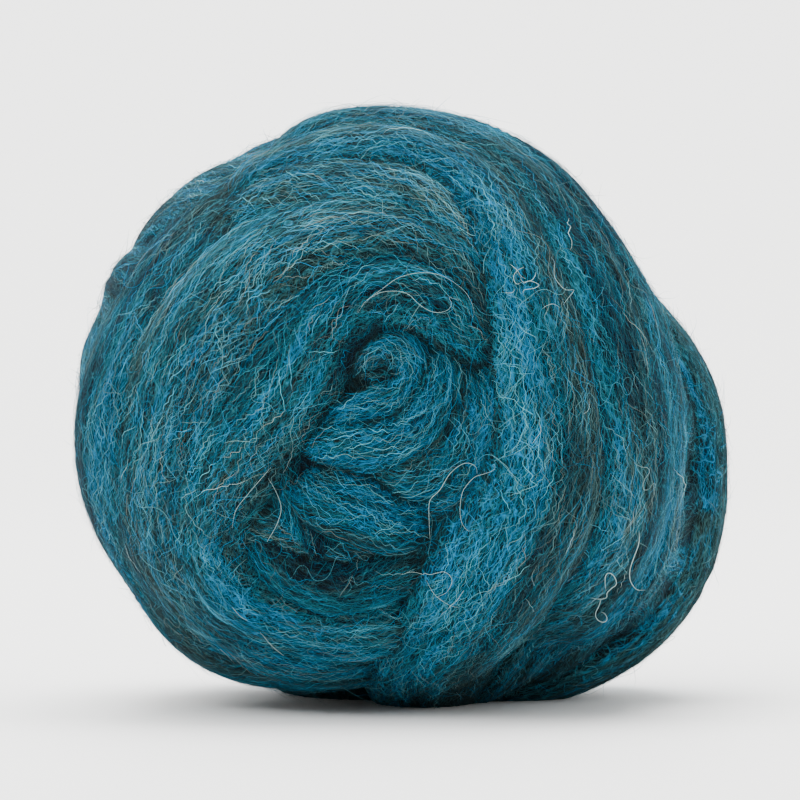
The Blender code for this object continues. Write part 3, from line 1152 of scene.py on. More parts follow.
@dataclass(frozen=True)
class DyeChart:
    """A small chart of columns of tone and rows of shade, on which each fibre has one cell.

    Attributes:
        darkest: The shade at the chart's foot.
        brightest: The shade at its top.
        inset: Half of the part of a cell that a fibre's map takes up.
    """

    columns: int = 24
    rows: int = 16
    darkest: float = 0.08
    brightest: float = 1.75
    inset: float = 0.4

    def level(self, shade: Array) -> Array:
        """The shade's height on the chart, from 0 to 1."""
        return (shade - self.darkest) / (self.brightest - self.darkest)

    def maps(self, tone: Array, shade: Array, faces_each: int, corners: int) -> dict[str, Array]:
        """The two flat maps of a mesh of fibres.

        Args:
            tone: Each fibre's tone.
            shade: Each fibre's shade.
            faces_each: Faces of each fibre.
            corners: Corners of each face, three or four.

        Returns:
            Dye, which is the middle of the fibre's cell at every corner, and OFBake, which is spread over the
            cell.
        """
        column = np.clip((tone * self.columns).astype(int), 0, self.columns - 1)
        row = np.clip((self.level(shade) * self.rows).astype(int), 0, self.rows - 1)
        middle = np.stack([(column + 0.5) / self.columns, (row + 0.5) / self.rows], axis=1)
        square = np.array([[-1, -1], [1, -1], [1, 1], [-1, 1]])
        spread = square[:corners] * self.inset / (self.columns, self.rows)
        cell = (np.repeat(middle, faces_each, axis=0)[:, None, :] + spread).reshape(-1, 2)
        return {"Dye": np.repeat(middle, faces_each * corners, axis=0), "OFBake": cell}

    def group(self) -> bpy.types.NodeTree:
        """The dye as a node group: a ramp of the heather's tones, made darker or brighter by the shade.

        Returns:
            A group with the inputs Tone, Level and Undyed and the output Color.
        """
        tree = NodeTree.group("Dye chart", ("Tone", "Level", "Undyed"), (("Color", "NodeSocketColor"),))
        ramp = tree.add("ShaderNodeValToRGB", {0: tree.entry.outputs["Tone"]})
        stops = ramp.color_ramp.elements
        while len(stops) < len(Tone):
            stops.new(0.5)
        for stop, tone in zip(stops, Tone):
            stop.position = tone.value
            stop.color = TONE_COLOURS[tone]
        range_of_shade = self.brightest - self.darkest
        bright = tree.maths("MULTIPLY_ADD", tree.entry.outputs["Level"], range_of_shade, self.darkest)
        mixed = tree.add("ShaderNodeMix", {
            0: tree.entry.outputs["Undyed"], 6: ramp.outputs["Color"], 7: UNDYED_MIX}, data_type="RGBA")
        dyed = tree.add("ShaderNodeVectorMath", {0: mixed.outputs[2], "Scale": bright}, operation="SCALE")
        tree.links.new(dyed.outputs[0], tree.leave.inputs["Color"])
        return tree.tree


class NodeTree:
    """A short way to add and join shader nodes."""

    def __init__(self, tree: bpy.types.NodeTree) -> None:
        """Works on an existing tree."""
        self.tree = tree
        self.nodes = tree.nodes
        self.links = tree.links

    @classmethod
    def group(cls, name: str, inputs: tuple[str, ...], outputs: tuple[tuple[str, str], ...]) -> NodeTree:
        """A new node group.

        Args:
            name: Its name.
            inputs: Names of its inputs, all plain numbers.
            outputs: Names and socket types of its outputs.

        Returns:
            Its tree, with its entry and its leave as extra properties.
        """
        group = bpy.data.node_groups.new(name, "ShaderNodeTree")
        for label in inputs:
            group.interface.new_socket(label, in_out="INPUT", socket_type="NodeSocketFloat")
        for label, kind in outputs:
            group.interface.new_socket(label, in_out="OUTPUT", socket_type=kind)
        tree = cls(group)
        tree.entry = tree.add("NodeGroupInput")
        tree.leave = tree.add("NodeGroupOutput")
        return tree

    def add(self, kind: str, inputs: dict | None = None, **settings: object) -> bpy.types.Node:
        """Adds a node.

        Args:
            kind: Its Blender type.
            inputs: Values or sockets for its inputs, by name or number.
            settings: Its own properties.

        Returns:
            The node.
        """
        node = self.nodes.new(kind)
        for key, value in settings.items():
            setattr(node, key, value)
        for key, value in (inputs or {}).items():
            if isinstance(value, NodeSocket):
                self.links.new(value, node.inputs[key])
            else:
                node.inputs[key].default_value = value
        return node

    def maths(self, operation: str, *values: object, clamp: bool = False) -> NodeSocket:
        """The result of a Math node on up to three values or sockets."""
        inputs = dict(enumerate(values))
        return self.add("ShaderNodeMath", inputs, operation=operation, use_clamp=clamp).outputs[0]

    def noise(self, along: object, across: object, seed: object, **inputs: float) -> NodeSocket:
        """A noise with cells of one unit.

        Args:
            along: Its first coordinate, a value or a socket.
            across: Its second.
            seed: Its third.
            inputs: Other inputs of the noise, such as its Detail.

        Returns:
            The noise's value.
        """
        vector = self.add("ShaderNodeCombineXYZ", {0: along, 1: across, 2: seed}).outputs[0]
        return self.add("ShaderNodeTexNoise", {"Vector": vector, "Scale": 1.0, **inputs}).outputs[0]

    def attribute(self, name: str) -> NodeSocket:
        """A number that the mesh carries at each point."""
        return self.add("ShaderNodeAttribute", attribute_name=name).outputs["Fac"]

    def flat_map(self, name: str) -> tuple[NodeSocket, NodeSocket]:
        """The two numbers of one of the mesh's flat maps."""
        place = self.add("ShaderNodeUVMap", uv_map=name).outputs[0]
        outputs = self.add("ShaderNodeSeparateXYZ", {0: place}).outputs
        return outputs[0], outputs[1]

    def between(self, value: object, least: float, most: float) -> NodeSocket:
        """A value or a socket, held between two limits."""
        return self.add("ShaderNodeClamp", {0: value, 1: least, 2: most}).outputs[0]


@dataclass(frozen=True)
class HairLines:
    """Fine wandering lines near one direction: where a long-celled noise passes through its middle value.

    Attributes:
        bends: How many bends a line has for each centimetre along and across.
        bend: How far a bend moves a line sideways, in centimetres.
        middle: The noise's middle value.
    """

    bends: Pair = (7.0, 4.0)
    bend: float = 0.10
    middle: float = 0.5

    def group(self) -> bpy.types.NodeTree:
        """The lines as a node group: 1 less the fineness times the noise's distance from its middle value.

        Returns:
            A group with the inputs Along, Across, Turn, Length, Width, Seed and Fineness and the output Line.
        """
        inputs = ("Along", "Across", "Turn", "Length", "Width", "Seed", "Fineness")
        tree = NodeTree.group("Hair lines", inputs, (("Line", "NodeSocketFloat"),))
        maths, entry = tree.maths, tree.entry.outputs
        cosine, sine = maths("COSINE", entry["Turn"]), maths("SINE", entry["Turn"])
        along = maths("MULTIPLY_ADD", entry["Along"], cosine, maths("MULTIPLY", entry["Across"], sine))
        turned = maths("MULTIPLY", entry["Across"], cosine)
        across = maths("SUBTRACT", turned, maths("MULTIPLY", entry["Along"], sine))
        place = (maths("MULTIPLY", along, self.bends[0]), maths("MULTIPLY", across, self.bends[1]))
        across = maths("MULTIPLY_ADD", tree.noise(*place, entry["Seed"], Detail=1.0), self.bend, across)
        cell = (maths("DIVIDE", along, entry["Length"]), maths("DIVIDE", across, entry["Width"]))
        away = maths("SUBTRACT", tree.noise(*cell, entry["Seed"], Detail=0.0), self.middle)
        thin = maths("MULTIPLY", maths("ABSOLUTE", away), entry["Fineness"])
        tree.links.new(maths("SUBTRACT", 1.0, thin, clamp=True), tree.leave.inputs["Line"])
        return tree.tree


@dataclass(frozen=True)
class WoolFinish:
    """What every wool surface shares: a matt, hardly shining fibre with a soft bloom."""

    roughness: float = 0.80
    specular: float = 0.05
    sheen: float = 0.04
    sheen_roughness: float = 0.5
    sheen_tint: Four = (0.25, 0.62, 0.75, 1.0)

    def principled(self, material: Material) -> tuple[NodeTree, bpy.types.Node]:
        """Sets the constants of a material on its shader's own sockets.

        Args:
            material: The material.

        Returns:
            Its tree and its Principled shader.
        """
        material.use_nodes = True
        tree = NodeTree(material.node_tree)
        shader = tree.nodes["Principled BSDF"]
        for socket, value in (
            ("Roughness", self.roughness),
            ("Specular IOR Level", self.specular),
            ("Sheen Weight", self.sheen),
            ("Sheen Roughness", self.sheen_roughness),
            ("Sheen Tint", self.sheen_tint),
        ):
            shader.inputs[socket].default_value = value
        return tree, shader


class HairLayer(NamedTuple):
    """One layer of drawn fibres: its turn from the band, its cells in centimetres, and its strength."""

    turn: float
    length: float
    width: float
    fineness: float
    tone: float
    bright: float


HAIR_LAYERS = (
    HairLayer(0.05, 0.50, 0.032, 15.0, 0.04, 0.60),
    HairLayer(-0.14, 0.46, 0.038, 17.0, 0.04, 0.64),
    HairLayer(0.26, 0.42, 0.048, 21.0, 0.10, 0.68),
    HairLayer(-0.40, 0.36, 0.062, 27.0, 0.12, 0.66),
    HairLayer(0.95, 0.30, 0.090, 38.0, 0.16, 0.58),
)


@dataclass(frozen=True)
class SkinFinish(WoolFinish):
    """The close mat of fibres under the loose ones: drawn fibres along each band, with painted shade in
    creases.

    Attributes:
        streaks: Cells of the streaks for each centimetre along and across, and where on the noise they start.
        streak_tone: How much the streaks change the tone, and what is added to it.
        streak_level: The same for the level.
        speckles: Cells of the undyed speckles, as for the streaks.
        speckle_undyed: How sharply undyed wool shows, and what is added to it.
        seeds: Where on the noise the first layer of lines starts, and how far on each next one does.
        line_height: How far a line stands up, and how much higher each next layer lies.
    """

    streaks: Triple = (1.4, 14.0, 3.7)
    streak_tone: Pair = (0.70, -0.45)
    streak_level: Pair = (0.40, -0.68)
    streak_height: float = 0.6
    speckles: Triple = (2.4, 16.0, 9.1)
    speckle_undyed: Pair = (2.6, -1.45)
    seeds: Pair = (2.0, 11.3)
    line_height: Pair = (0.7, 0.1)
    tones: Pair = (0.08, 0.57)
    bump_distance: float = 0.00035
    bump_strength: float = 0.9

    def make(self, chart: bpy.types.NodeTree, hairs: bpy.types.NodeTree) -> Material:
        """The skin's material.

        Args:
            chart: The dye chart's node group.
            hairs: The hair lines' node group.

        Returns:
            A material that reads the map Lay, which is centimetres along and across each band, and the
            attributes Tone, Level and Undyed.
        """
        material = bpy.data.materials.new("roving skin")
        tree, shader = self.principled(material)
        maths = tree.maths
        along, across = tree.flat_map("Lay")

        def cells(sizes: Triple, **inputs: float) -> NodeSocket:
            """A noise in cells along and across the bands."""
            return tree.noise(
                maths("MULTIPLY", along, sizes[0]), maths("MULTIPLY", across, sizes[1]), sizes[2], **inputs)

        streak = cells(self.streaks, Detail=4.0, Roughness=0.65)
        tone_rate, tone_start = self.streak_tone
        level_rate, level_start = self.streak_level
        tone = maths("MULTIPLY_ADD", streak, tone_rate, maths("ADD", tree.attribute("Tone"), tone_start))
        level = maths("MULTIPLY_ADD", streak, level_rate, maths("ADD", tree.attribute("Level"), level_start))
        height = maths("MULTIPLY", streak, self.streak_height)
        line_height, layer_height = self.line_height
        first_seed, next_seed = self.seeds
        shift = bright = 0.0
        for index, layer in enumerate(HAIR_LAYERS):
            node = tree.add("ShaderNodeGroup", {
                "Along": along, "Across": across, "Turn": layer.turn, "Length": layer.length,
                "Width": layer.width, "Seed": next_seed * index + first_seed, "Fineness": layer.fineness,
            }, node_tree=hairs)
            line = node.outputs["Line"]
            shift = maths("MAXIMUM", shift, maths("MULTIPLY", line, layer.tone))
            bright = maths("MAXIMUM", bright, maths("MULTIPLY", line, layer.bright))
            height = maths("MAXIMUM", height, maths("MULTIPLY_ADD", line, line_height, layer_height * index))
        limited = tree.between(maths("ADD", tone, shift), *self.tones)
        held = tree.between(maths("ADD", level, bright), 0.0, 1.0)
        speckled = maths("ADD", cells(self.speckles, Detail=2.0), tree.attribute("Undyed"))
        undyed = maths("MULTIPLY_ADD", speckled, *self.speckle_undyed, clamp=True)
        dye = tree.add("ShaderNodeGroup", {"Tone": limited, "Level": held, "Undyed": undyed}, node_tree=chart)
        tree.links.new(dye.outputs["Color"], shader.inputs["Base Color"])
        bump = tree.add("ShaderNodeBump", {
            "Height": height, "Distance": self.bump_distance, "Strength": self.bump_strength})
        tree.links.new(bump.outputs[0], shader.inputs["Normal"])
        return material


@dataclass(frozen=True)
class FibreFinish(WoolFinish):
    """A single fibre: one colour of the heather from end to end."""

    def make(self, chart: bpy.types.NodeTree) -> Material:
        """The fibres' material.

        Args:
            chart: The dye chart's node group.

        Returns:
            A material that reads the map Dye, which is each fibre's place on the chart.
        """
        material = bpy.data.materials.new("roving fibre")
        tree, shader = self.principled(material)
        tone, level = tree.flat_map("Dye")
        dye = tree.add("ShaderNodeGroup", {"Tone": tone, "Level": level}, node_tree=chart)
        tree.links.new(dye.outputs["Color"], shader.inputs["Base Color"])
        return material


def new_piece(name: str, points: Array, faces: Array, maps: dict[str, Array], material: Material) -> Object:
    """Puts arrays into a mesh object at the origin.

    Args:
        name: The piece's name.
        points: Its points.
        faces: Point numbers, all faces with the same number of corners.
        maps: Flat maps by name, two numbers for each corner of each face in order.
        material: Its finish.

    Returns:
        The object.
    """
    mesh = bpy.data.meshes.new(name)
    count, corners = faces.shape
    mesh.vertices.add(len(points))
    mesh.vertices.foreach_set("co", points.astype(np.float32).ravel())
    mesh.loops.add(count * corners)
    mesh.loops.foreach_set("vertex_index", faces.astype(np.int32).ravel())
    mesh.polygons.add(count)
    mesh.polygons.foreach_set("loop_start", np.arange(0, count * corners, corners, dtype=np.int32))
    mesh.polygons.foreach_set("loop_total", np.full(count, corners, dtype=np.int32))
    mesh.update(calc_edges=True)
    for map_name, values in maps.items():
        layer = mesh.uv_layers.new(name=map_name)
        layer.data.foreach_set("uv", values.astype(np.float32).ravel())
    mesh.materials.append(material)
    mesh.shade_smooth()
    piece = bpy.data.objects.new(name, mesh)
    bpy.context.scene.collection.objects.link(piece)
    return piece


def new_wool(name: str, points: Array, faces: Array, maps: dict[str, Array], material: Material) -> Object:
    """A piece of the ball, which rides on it.

    Args:
        name: The piece's name.
        points: Its points.
        faces: Its faces.
        maps: Its flat maps.
        material: Its finish.

    Returns:
        The object.
    """
    piece = new_piece(name, points, faces, maps, material)
    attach(piece, "root")
    return piece


@dataclass
class Skin:
    """The ball's close outer mat, one closed surface that stands for the whole solid.

    Attributes:
        crease_painted_shade: How dark the painted shade in a crease is at most.
        crease_open: Share of that painted shade where the crease isn't in a hollow.
        hollow_painted_shade: How dark the painted shade in a hollow is at most.
        hollow_scale: How much deeper it is at its darkest.
        open_bands: Number of the last bands, which lie open to the light.
        open_share: Share of a hollow's painted shade on them.
        odd_spread: How far an odd fibre's tone lies from its colour's.
        fibre_painted_shade: How much of its brightness a fibre loses to painted shade in the darkest folds.
        painted_shade_tone: How far the skin's tone falls there, as painted shade.
        lay_shift: How far each turn's part of the map Lay lies from the one before, in centimetres.
        dark: How dark each point is painted, near 1 at the bottom of a sunken crease or hollow.
    """

    form: WoundForm
    heather: Heather
    chart: DyeChart
    material: Material
    crease_painted_shade: float = 0.70
    crease_open: float = 0.25
    hollow_painted_shade: float = 0.80
    hollow_start: float = 0.0004
    hollow_scale: float = 0.0026
    open_bands: int = 2
    open_share: float = 0.3
    tones: Pair = (0.08, 0.72)
    odd_spread: float = 0.02
    fibre_painted_shade: float = 0.92
    painted_shade_tone: float = 0.10
    lay_shift: Pair = (7.3, 3.1)
    dark: Array = field(init=False)

    def __post_init__(self) -> None:
        """Works out how dark each point is painted: the painted shade for what neither its crease nor its
        hollow leaves of the light.
        """
        form = self.form
        # Painted shade: the colour is darkened in creases and in hollows, less so in hollows of the bands
        # open to the light.
        hollow = np.clip((form.cavity - self.hollow_start) / self.hollow_scale, 0, 1)
        hollow *= np.where(form.number >= len(form.routes) - self.open_bands, self.open_share, 1.0)
        painted_crease_shade = self.crease_painted_shade * form.crease * np.clip(self.crease_open + 2 * hollow, 0, 1)
        painted_crease_shade = np.maximum(painted_crease_shade, form.fold_painted_shade)
        self.dark = 1 - (1 - painted_crease_shade) * (1 - self.hollow_painted_shade * hollow)

    def fibre_dyes(
        self, roots: Array, rng: np.random.Generator, stray: Pair
    ) -> tuple[Array, Array]:
        """The dyes of fibres that lie on the skin.

        Args:
            roots: The grid point under each fibre.
            rng: Random numbers.
            stray: How far the tones lie from the skin's, as a mean and a spread.

        Returns:
            Each fibre's tone and its shade, darker in creases and hollows by painted shade.
        """
        form, count = self.form, len(roots)
        tone, shade, undyed = self.heather.wool(form.number[roots], form.station[roots], form.across[roots])
        tone = np.clip(tone + rng.normal(*stray, count), *self.tones)
        kinds = rng.choice([kind.value for kind in ODD_FIBRES], count, p=list(ODD_FIBRES.values()))
        odd = rng.random(count) < undyed
        tone = np.where(odd, kinds + rng.uniform(-self.odd_spread, self.odd_spread, count), tone)
        # Painted shade: a fibre over a crease or hollow is darkened in its colour.
        return tone, shade * (1 - self.fibre_painted_shade * self.dark[roots])

    def lay(self) -> Array:
        """The map along and across the bands, with all the corners of a face counted on one band.

        Returns:
            Centimetres along and across for each corner of each face.
        """
        form = self.form
        quads = form.grid.quads()
        owner = form.number[quads].max(axis=1)
        places = form.grid.directions * form.reach[:, None]
        flat = np.zeros((len(quads), 4, 2))
        for route in form.routes:
            faces = np.flatnonzero(owner == route.number)
            if not len(faces):
                continue
            _, station, across = route.nearest(places[quads[faces].ravel()])
            station = station.reshape(-1, 4)
            if route.closed:
                station = station + route.length * np.round((station[:, :1] - station) / route.length)
            flat[faces, :, 0] = station * CENTIMETRES + self.lay_shift[0] * route.number
            flat[faces, :, 1] = across.reshape(-1, 4) * CENTIMETRES + self.lay_shift[1] * route.number
        return flat.reshape(-1, 2)

    def build(self) -> Object:
        """The skin, with its map along and across the bands, and what the wool is like at each point.

        Returns:
            The piece.
        """
        form = self.form
        maps = {"Lay": self.lay(), "OFBake": form.grid.atlas()}
        piece = new_wool("roving_skin", form.points, form.grid.quads(), maps, self.material)
        tone, shade, undyed = self.heather.wool(form.number, form.station, form.across)
        # Painted shade: the skin's level and tone fall with how dark each point is painted.
        level = self.chart.level(shade * (1 - self.dark))
        tone = tone - self.painted_shade_tone * self.dark
        for name, values in (("Tone", tone), ("Level", level), ("Undyed", undyed)):
            attribute = piece.data.attributes.new(name, "FLOAT", "POINT")
            attribute.data.foreach_set("value", values.astype(np.float32))
        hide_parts(CAD_NODE)
        return piece


@dataclass(frozen=True)
class CoatPlan:
    """Sizes of one coat of fibres. Lengths are in metres, and pairs are the least and the most.

    Attributes:
        lift: Height over the skin.
        sway: How far a fibre swings to each side in its slow wave.
        angle: Spread of the fibres' turn from the band's direction, in radians.
        crimp: How far it swings in its quick wave.
        crimp_length: Length of the quick wave.
        tone: Mean and spread of the tone's distance from the wool under it.
        shade: How much brighter than that wool it is.
        face_share: How many more of the fibres lie on the face than on the back.
    """

    name: str
    count: int
    points_each: int
    length: Pair
    width: float
    lift: Pair
    sway: float
    angle: float
    crimp: Pair
    crimp_length: Pair
    tone: Pair
    shade: Pair
    face_share: float
    seed: int


COATS = (
    CoatPlan("close_coat", 8200, 13, (0.0036, 0.0058), 0.000084, (0.00000, 0.00010), 0.0004, 0.14,
             (0.00005, 0.00017), (0.0012, 0.0024), (0.00, 0.09), (0.22, 1.20), 0.5, 101),
    CoatPlan("middle_coat", 8200, 13, (0.0036, 0.0058), 0.000068, (0.00006, 0.00024), 0.0006, 0.18,
             (0.00006, 0.00021), (0.0012, 0.0024), (0.02, 0.11), (0.32, 1.70), 0.6, 102),
    CoatPlan("cross_coat", 5800, 13, (0.0030, 0.0050), 0.000056, (0.00012, 0.00034), 0.0006, 0.52,
             (0.00008, 0.00028), (0.0012, 0.0026), (0.04, 0.12), (0.40, 2.05), 0.7, 104),
    CoatPlan("loose_coat", 8200, 13, (0.0034, 0.0062), 0.000054, (0.00020, 0.00060), 0.0008, 0.32,
             (0.00008, 0.00030), (0.0013, 0.0028), (0.08, 0.12), (0.45, 2.50), 0.7, 103),
)


@dataclass
class Coat:
    """Crimped fibres that lie along the bands, as narrow strips that face outwards."""

    skin: Skin
    plan: CoatPlan
    material: Material

    FOLD_DEPTH = 0.0016
    ROOT_SPREAD = 0.0004
    SWAY_LENGTH = (0.008, 0.022)
    CRIMP_DRIFT = (1.3, 2.7)
    CRIMP_RISE = 0.3
    ARCH = (0, 0.6)
    END_DIP = 0.00012
    END_WIDTH = 0.2
    WIDTHS = (0.6, 1.25)

    def __post_init__(self) -> None:
        """Starts the coat's own run of random numbers."""
        self.form = self.skin.form
        self.rng = np.random.default_rng(self.plan.seed)

    def paths(self, roots: Array) -> tuple[Array, Array]:
        """Centre lines of the fibres: station and distance across, with a slow sway and a quick crimp.

        Where they cross a dark fold they go down into it.

        Args:
            roots: The grid point under each fibre's middle.

        Returns:
            Points and the outward directions at them, one row of points for each fibre.
        """
        plan, rng, form = self.plan, self.rng, self.form
        count, each = len(roots), plan.points_each
        length = rng.uniform(*plan.length, count)[:, None]
        t = np.linspace(-0.5, 0.5, each)[None, :]
        angle = rng.normal(0, plan.angle, (count, 1))
        run = t * length
        root_station = form.station[roots][:, None] + rng.uniform(-1, 1, (count, 1)) * self.ROOT_SPREAD
        station = root_station + run * np.cos(angle)
        phase = rng.uniform(0, TURN, (4, count, 1))
        sway_length = rng.uniform(*self.SWAY_LENGTH, (count, 1))
        crimp_length = rng.uniform(*plan.crimp_length, (count, 1))
        crimp = rng.uniform(*plan.crimp, (count, 1))
        drift, drift_length = self.CRIMP_DRIFT
        drifted = drift * np.sin(TURN * run / (crimp_length * drift_length) + phase[2])
        turns = TURN * run / crimp_length + phase[1] + drifted
        across = (
            form.across[roots][:, None]
            + rng.uniform(-1, 1, (count, 1)) * self.ROOT_SPREAD
            + run * np.sin(angle)
            + plan.sway * (np.sin(TURN * run / sway_length + phase[0]) - np.sin(phase[0]))
            + crimp * np.sin(turns)
        )
        rise = self.CRIMP_RISE * crimp * (1 + np.sin(turns * 0.5 + phase[3]))
        lift = rng.uniform(*plan.lift, (count, 1)) + rise
        arch = rng.uniform(*self.ARCH, (count, 1)) * plan.lift[1]
        lift = lift + arch * np.cos(math.pi * t) - self.END_DIP * np.abs(2 * t) ** 6
        directions = np.zeros((count, each, 3))
        radius = np.zeros((count, each))
        numbers = form.number[roots]
        for route in form.routes:
            chosen = numbers == route.number
            if not chosen.any():
                continue
            way, height = route.place(station[chosen], across[chosen])
            raised = form.relief.height(route.number, station[chosen], across[chosen])
            directions[chosen] = way
            radius[chosen] = form.grid.sample(way, form.reach) + height + raised
        sunk = self.FOLD_DEPTH * np.clip(2 * form.grid.sample(directions, form.fold_painted_shade) - 1, 0, 1)
        return form.placed(directions, radius + lift - sunk), directions

    def dyes(self, roots: Array) -> tuple[Array, Array]:
        """Each fibre's tone and shade, which follow the wool under it, painted shade in folds included, and
        stray a little.
        """
        form, rng, plan = self.form, self.rng, self.plan
        tone, shade = self.skin.fibre_dyes(roots, rng, plan.tone)
        return tone, shade * rng.uniform(*plan.shade, len(roots))

    def build(self) -> Object:
        """The coat as one joined mesh of strips, whose width is the root of a half sine along each fibre.

        Returns:
            The piece.
        """
        plan = self.plan
        roots = self.form.roots(self.rng, plan.count, plan.face_share)
        points, outward = self.paths(roots)
        tone, shade = self.dyes(roots)
        along = unit(np.gradient(points, axis=1))
        sideways = unit(np.cross(outward, along))
        t = np.linspace(0, 1, plan.points_each)
        half = plan.width / 2 * (self.END_WIDTH + (1 - self.END_WIDTH) * np.sin(math.pi * t) ** 0.5)
        half = half[None, :, None] * self.rng.uniform(*self.WIDTHS, (plan.count, 1, 1))
        corners = np.stack([points - sideways * half, points + sideways * half], axis=2)
        start = (np.arange(plan.count)[:, None] * plan.points_each + np.arange(plan.points_each - 1)) * 2
        faces = np.stack([start + 1, start + 3, start + 2, start], axis=-1).reshape(-1, 4)
        maps = self.skin.chart.maps(tone, shade, plan.points_each - 1, 4)
        return new_wool(plan.name, corners.reshape(-1, 3), faces, maps, self.material)


class Kemp(NamedTuple):
    """A stiff pale hair off the face: its lift and half thickness in millimetres, its points in steps."""

    name: str
    lift: float
    half: float
    points: tuple[Pair, ...]


KEMPS = (
    Kemp("long_loop", 1.4, 0.042, ((30, -139), (29, -117), (30, -101), (40, -90), (49, -75), (59, -66),
        (68, -63), (76, -67), (77, -74))),
    Kemp("long_return", 1.0, 0.034, ((95, -64), (94, -70), (84, -74), (75, -77), (67, -85), (62, -94),
        (60, -110), (62, -123), (68, -131), (73, -130))),
    Kemp("left_bow", 1.2, 0.038, ((-132, -78), (-124, -92), (-119, -108), (-123, -124), (-133, -142))),
    Kemp("left_arc", 0.9, 0.034, ((-168, -128), (-164, -110), (-152, -94), (-140, -80), (-128, -66))),
    Kemp("hook", 1.0, 0.062, ((239, -131), (239, -142), (236, -152), (233, -160), (230, -170), (230, -179),
        (233, -186), (238, -190), (245, -190))),
    Kemp("snake", 1.0, 0.066, ((206, -191), (205, -181), (206, -175), (209, -173), (213, -175), (216, -180),
        (216, -185), (212, -188), (207, -193), (207, -197), (203, -199), (197, -199), (191, -198))),
    Kemp("snake_tail", 0.9, 0.062, ((204, -198), (201, -200), (199, -206), (196, -212), (196, -217),
        (199, -221), (204, -222), (207, -219), (205, -214), (201, -212))),
    Kemp("edge_curl", 0.8, 0.036, ((274, -69), (281, -78), (283, -90), (279, -101))),
    Kemp("tangle_cross", 1.3, 0.032, ((110, 136), (117, 130), (121, 124), (126, 121))),
    Kemp("tangle_loop", 1.1, 0.034, ((124, 133), (118, 130), (114, 125), (114, 120), (117, 116),
        (122, 118))),
    Kemp("tangle_rise", 1.0, 0.036, ((120, 123), (123, 118), (128, 119), (132, 120), (135, 124),
        (136, 128))),
    Kemp("tangle_fall", 1.2, 0.038, ((123, 116), (129, 119), (134, 118), (139, 115), (135, 112), (129, 111),
        (124, 110), (123, 107), (123, 104))),
    Kemp("tangle_foot", 0.8, 0.032, ((105, 108), (109, 107), (113, 108), (115, 111))),
    Kemp("right_angle", 1.0, 0.032, ((151, 143), (154, 138), (154, 128), (155, 122), (160, 115), (166, 110),
        (174, 110), (169, 103), (163, 95))),
    Kemp("right_bow", 0.8, 0.026, ((142, 91), (146, 94), (152, 96), (156, 95), (160, 92))),
    Kemp("main_streak", 0.8, 0.032, ((132, -44), (137, -37), (141, -31), (139, -22))),
    Kemp("lip_curl", 0.8, 0.034, ((1, -175), (12, -172), (28, -175), (44, -172), (52, -180), (47, -192),
        (37, -197))),
    Kemp("lip_trail", 0.7, 0.030, ((26, -180), (35, -195), (49, -205), (60, -208))),
    Kemp("low_streak", 0.6, 0.034, ((-168, -207), (-160, -216), (-152, -221))),
    Kemp("floor_streak", 0.6, 0.034, ((-140, -232), (-128, -246), (-116, -256))),
    Kemp("brow_arc", 0.7, 0.026, ((-42, 87), (-34, 99), (-18, 111), (-2, 122), (17, 127), (36, 126),
        (52, 119), (67, 106), (74, 90), (73, 82))),
    Kemp("brow_wave", 0.7, 0.028, ((-34, 99), (-21, 107), (-5, 109), (8, 106), (20, 95), (33, 88), (46, 89),
        (52, 96), (49, 103), (59, 99))),
)


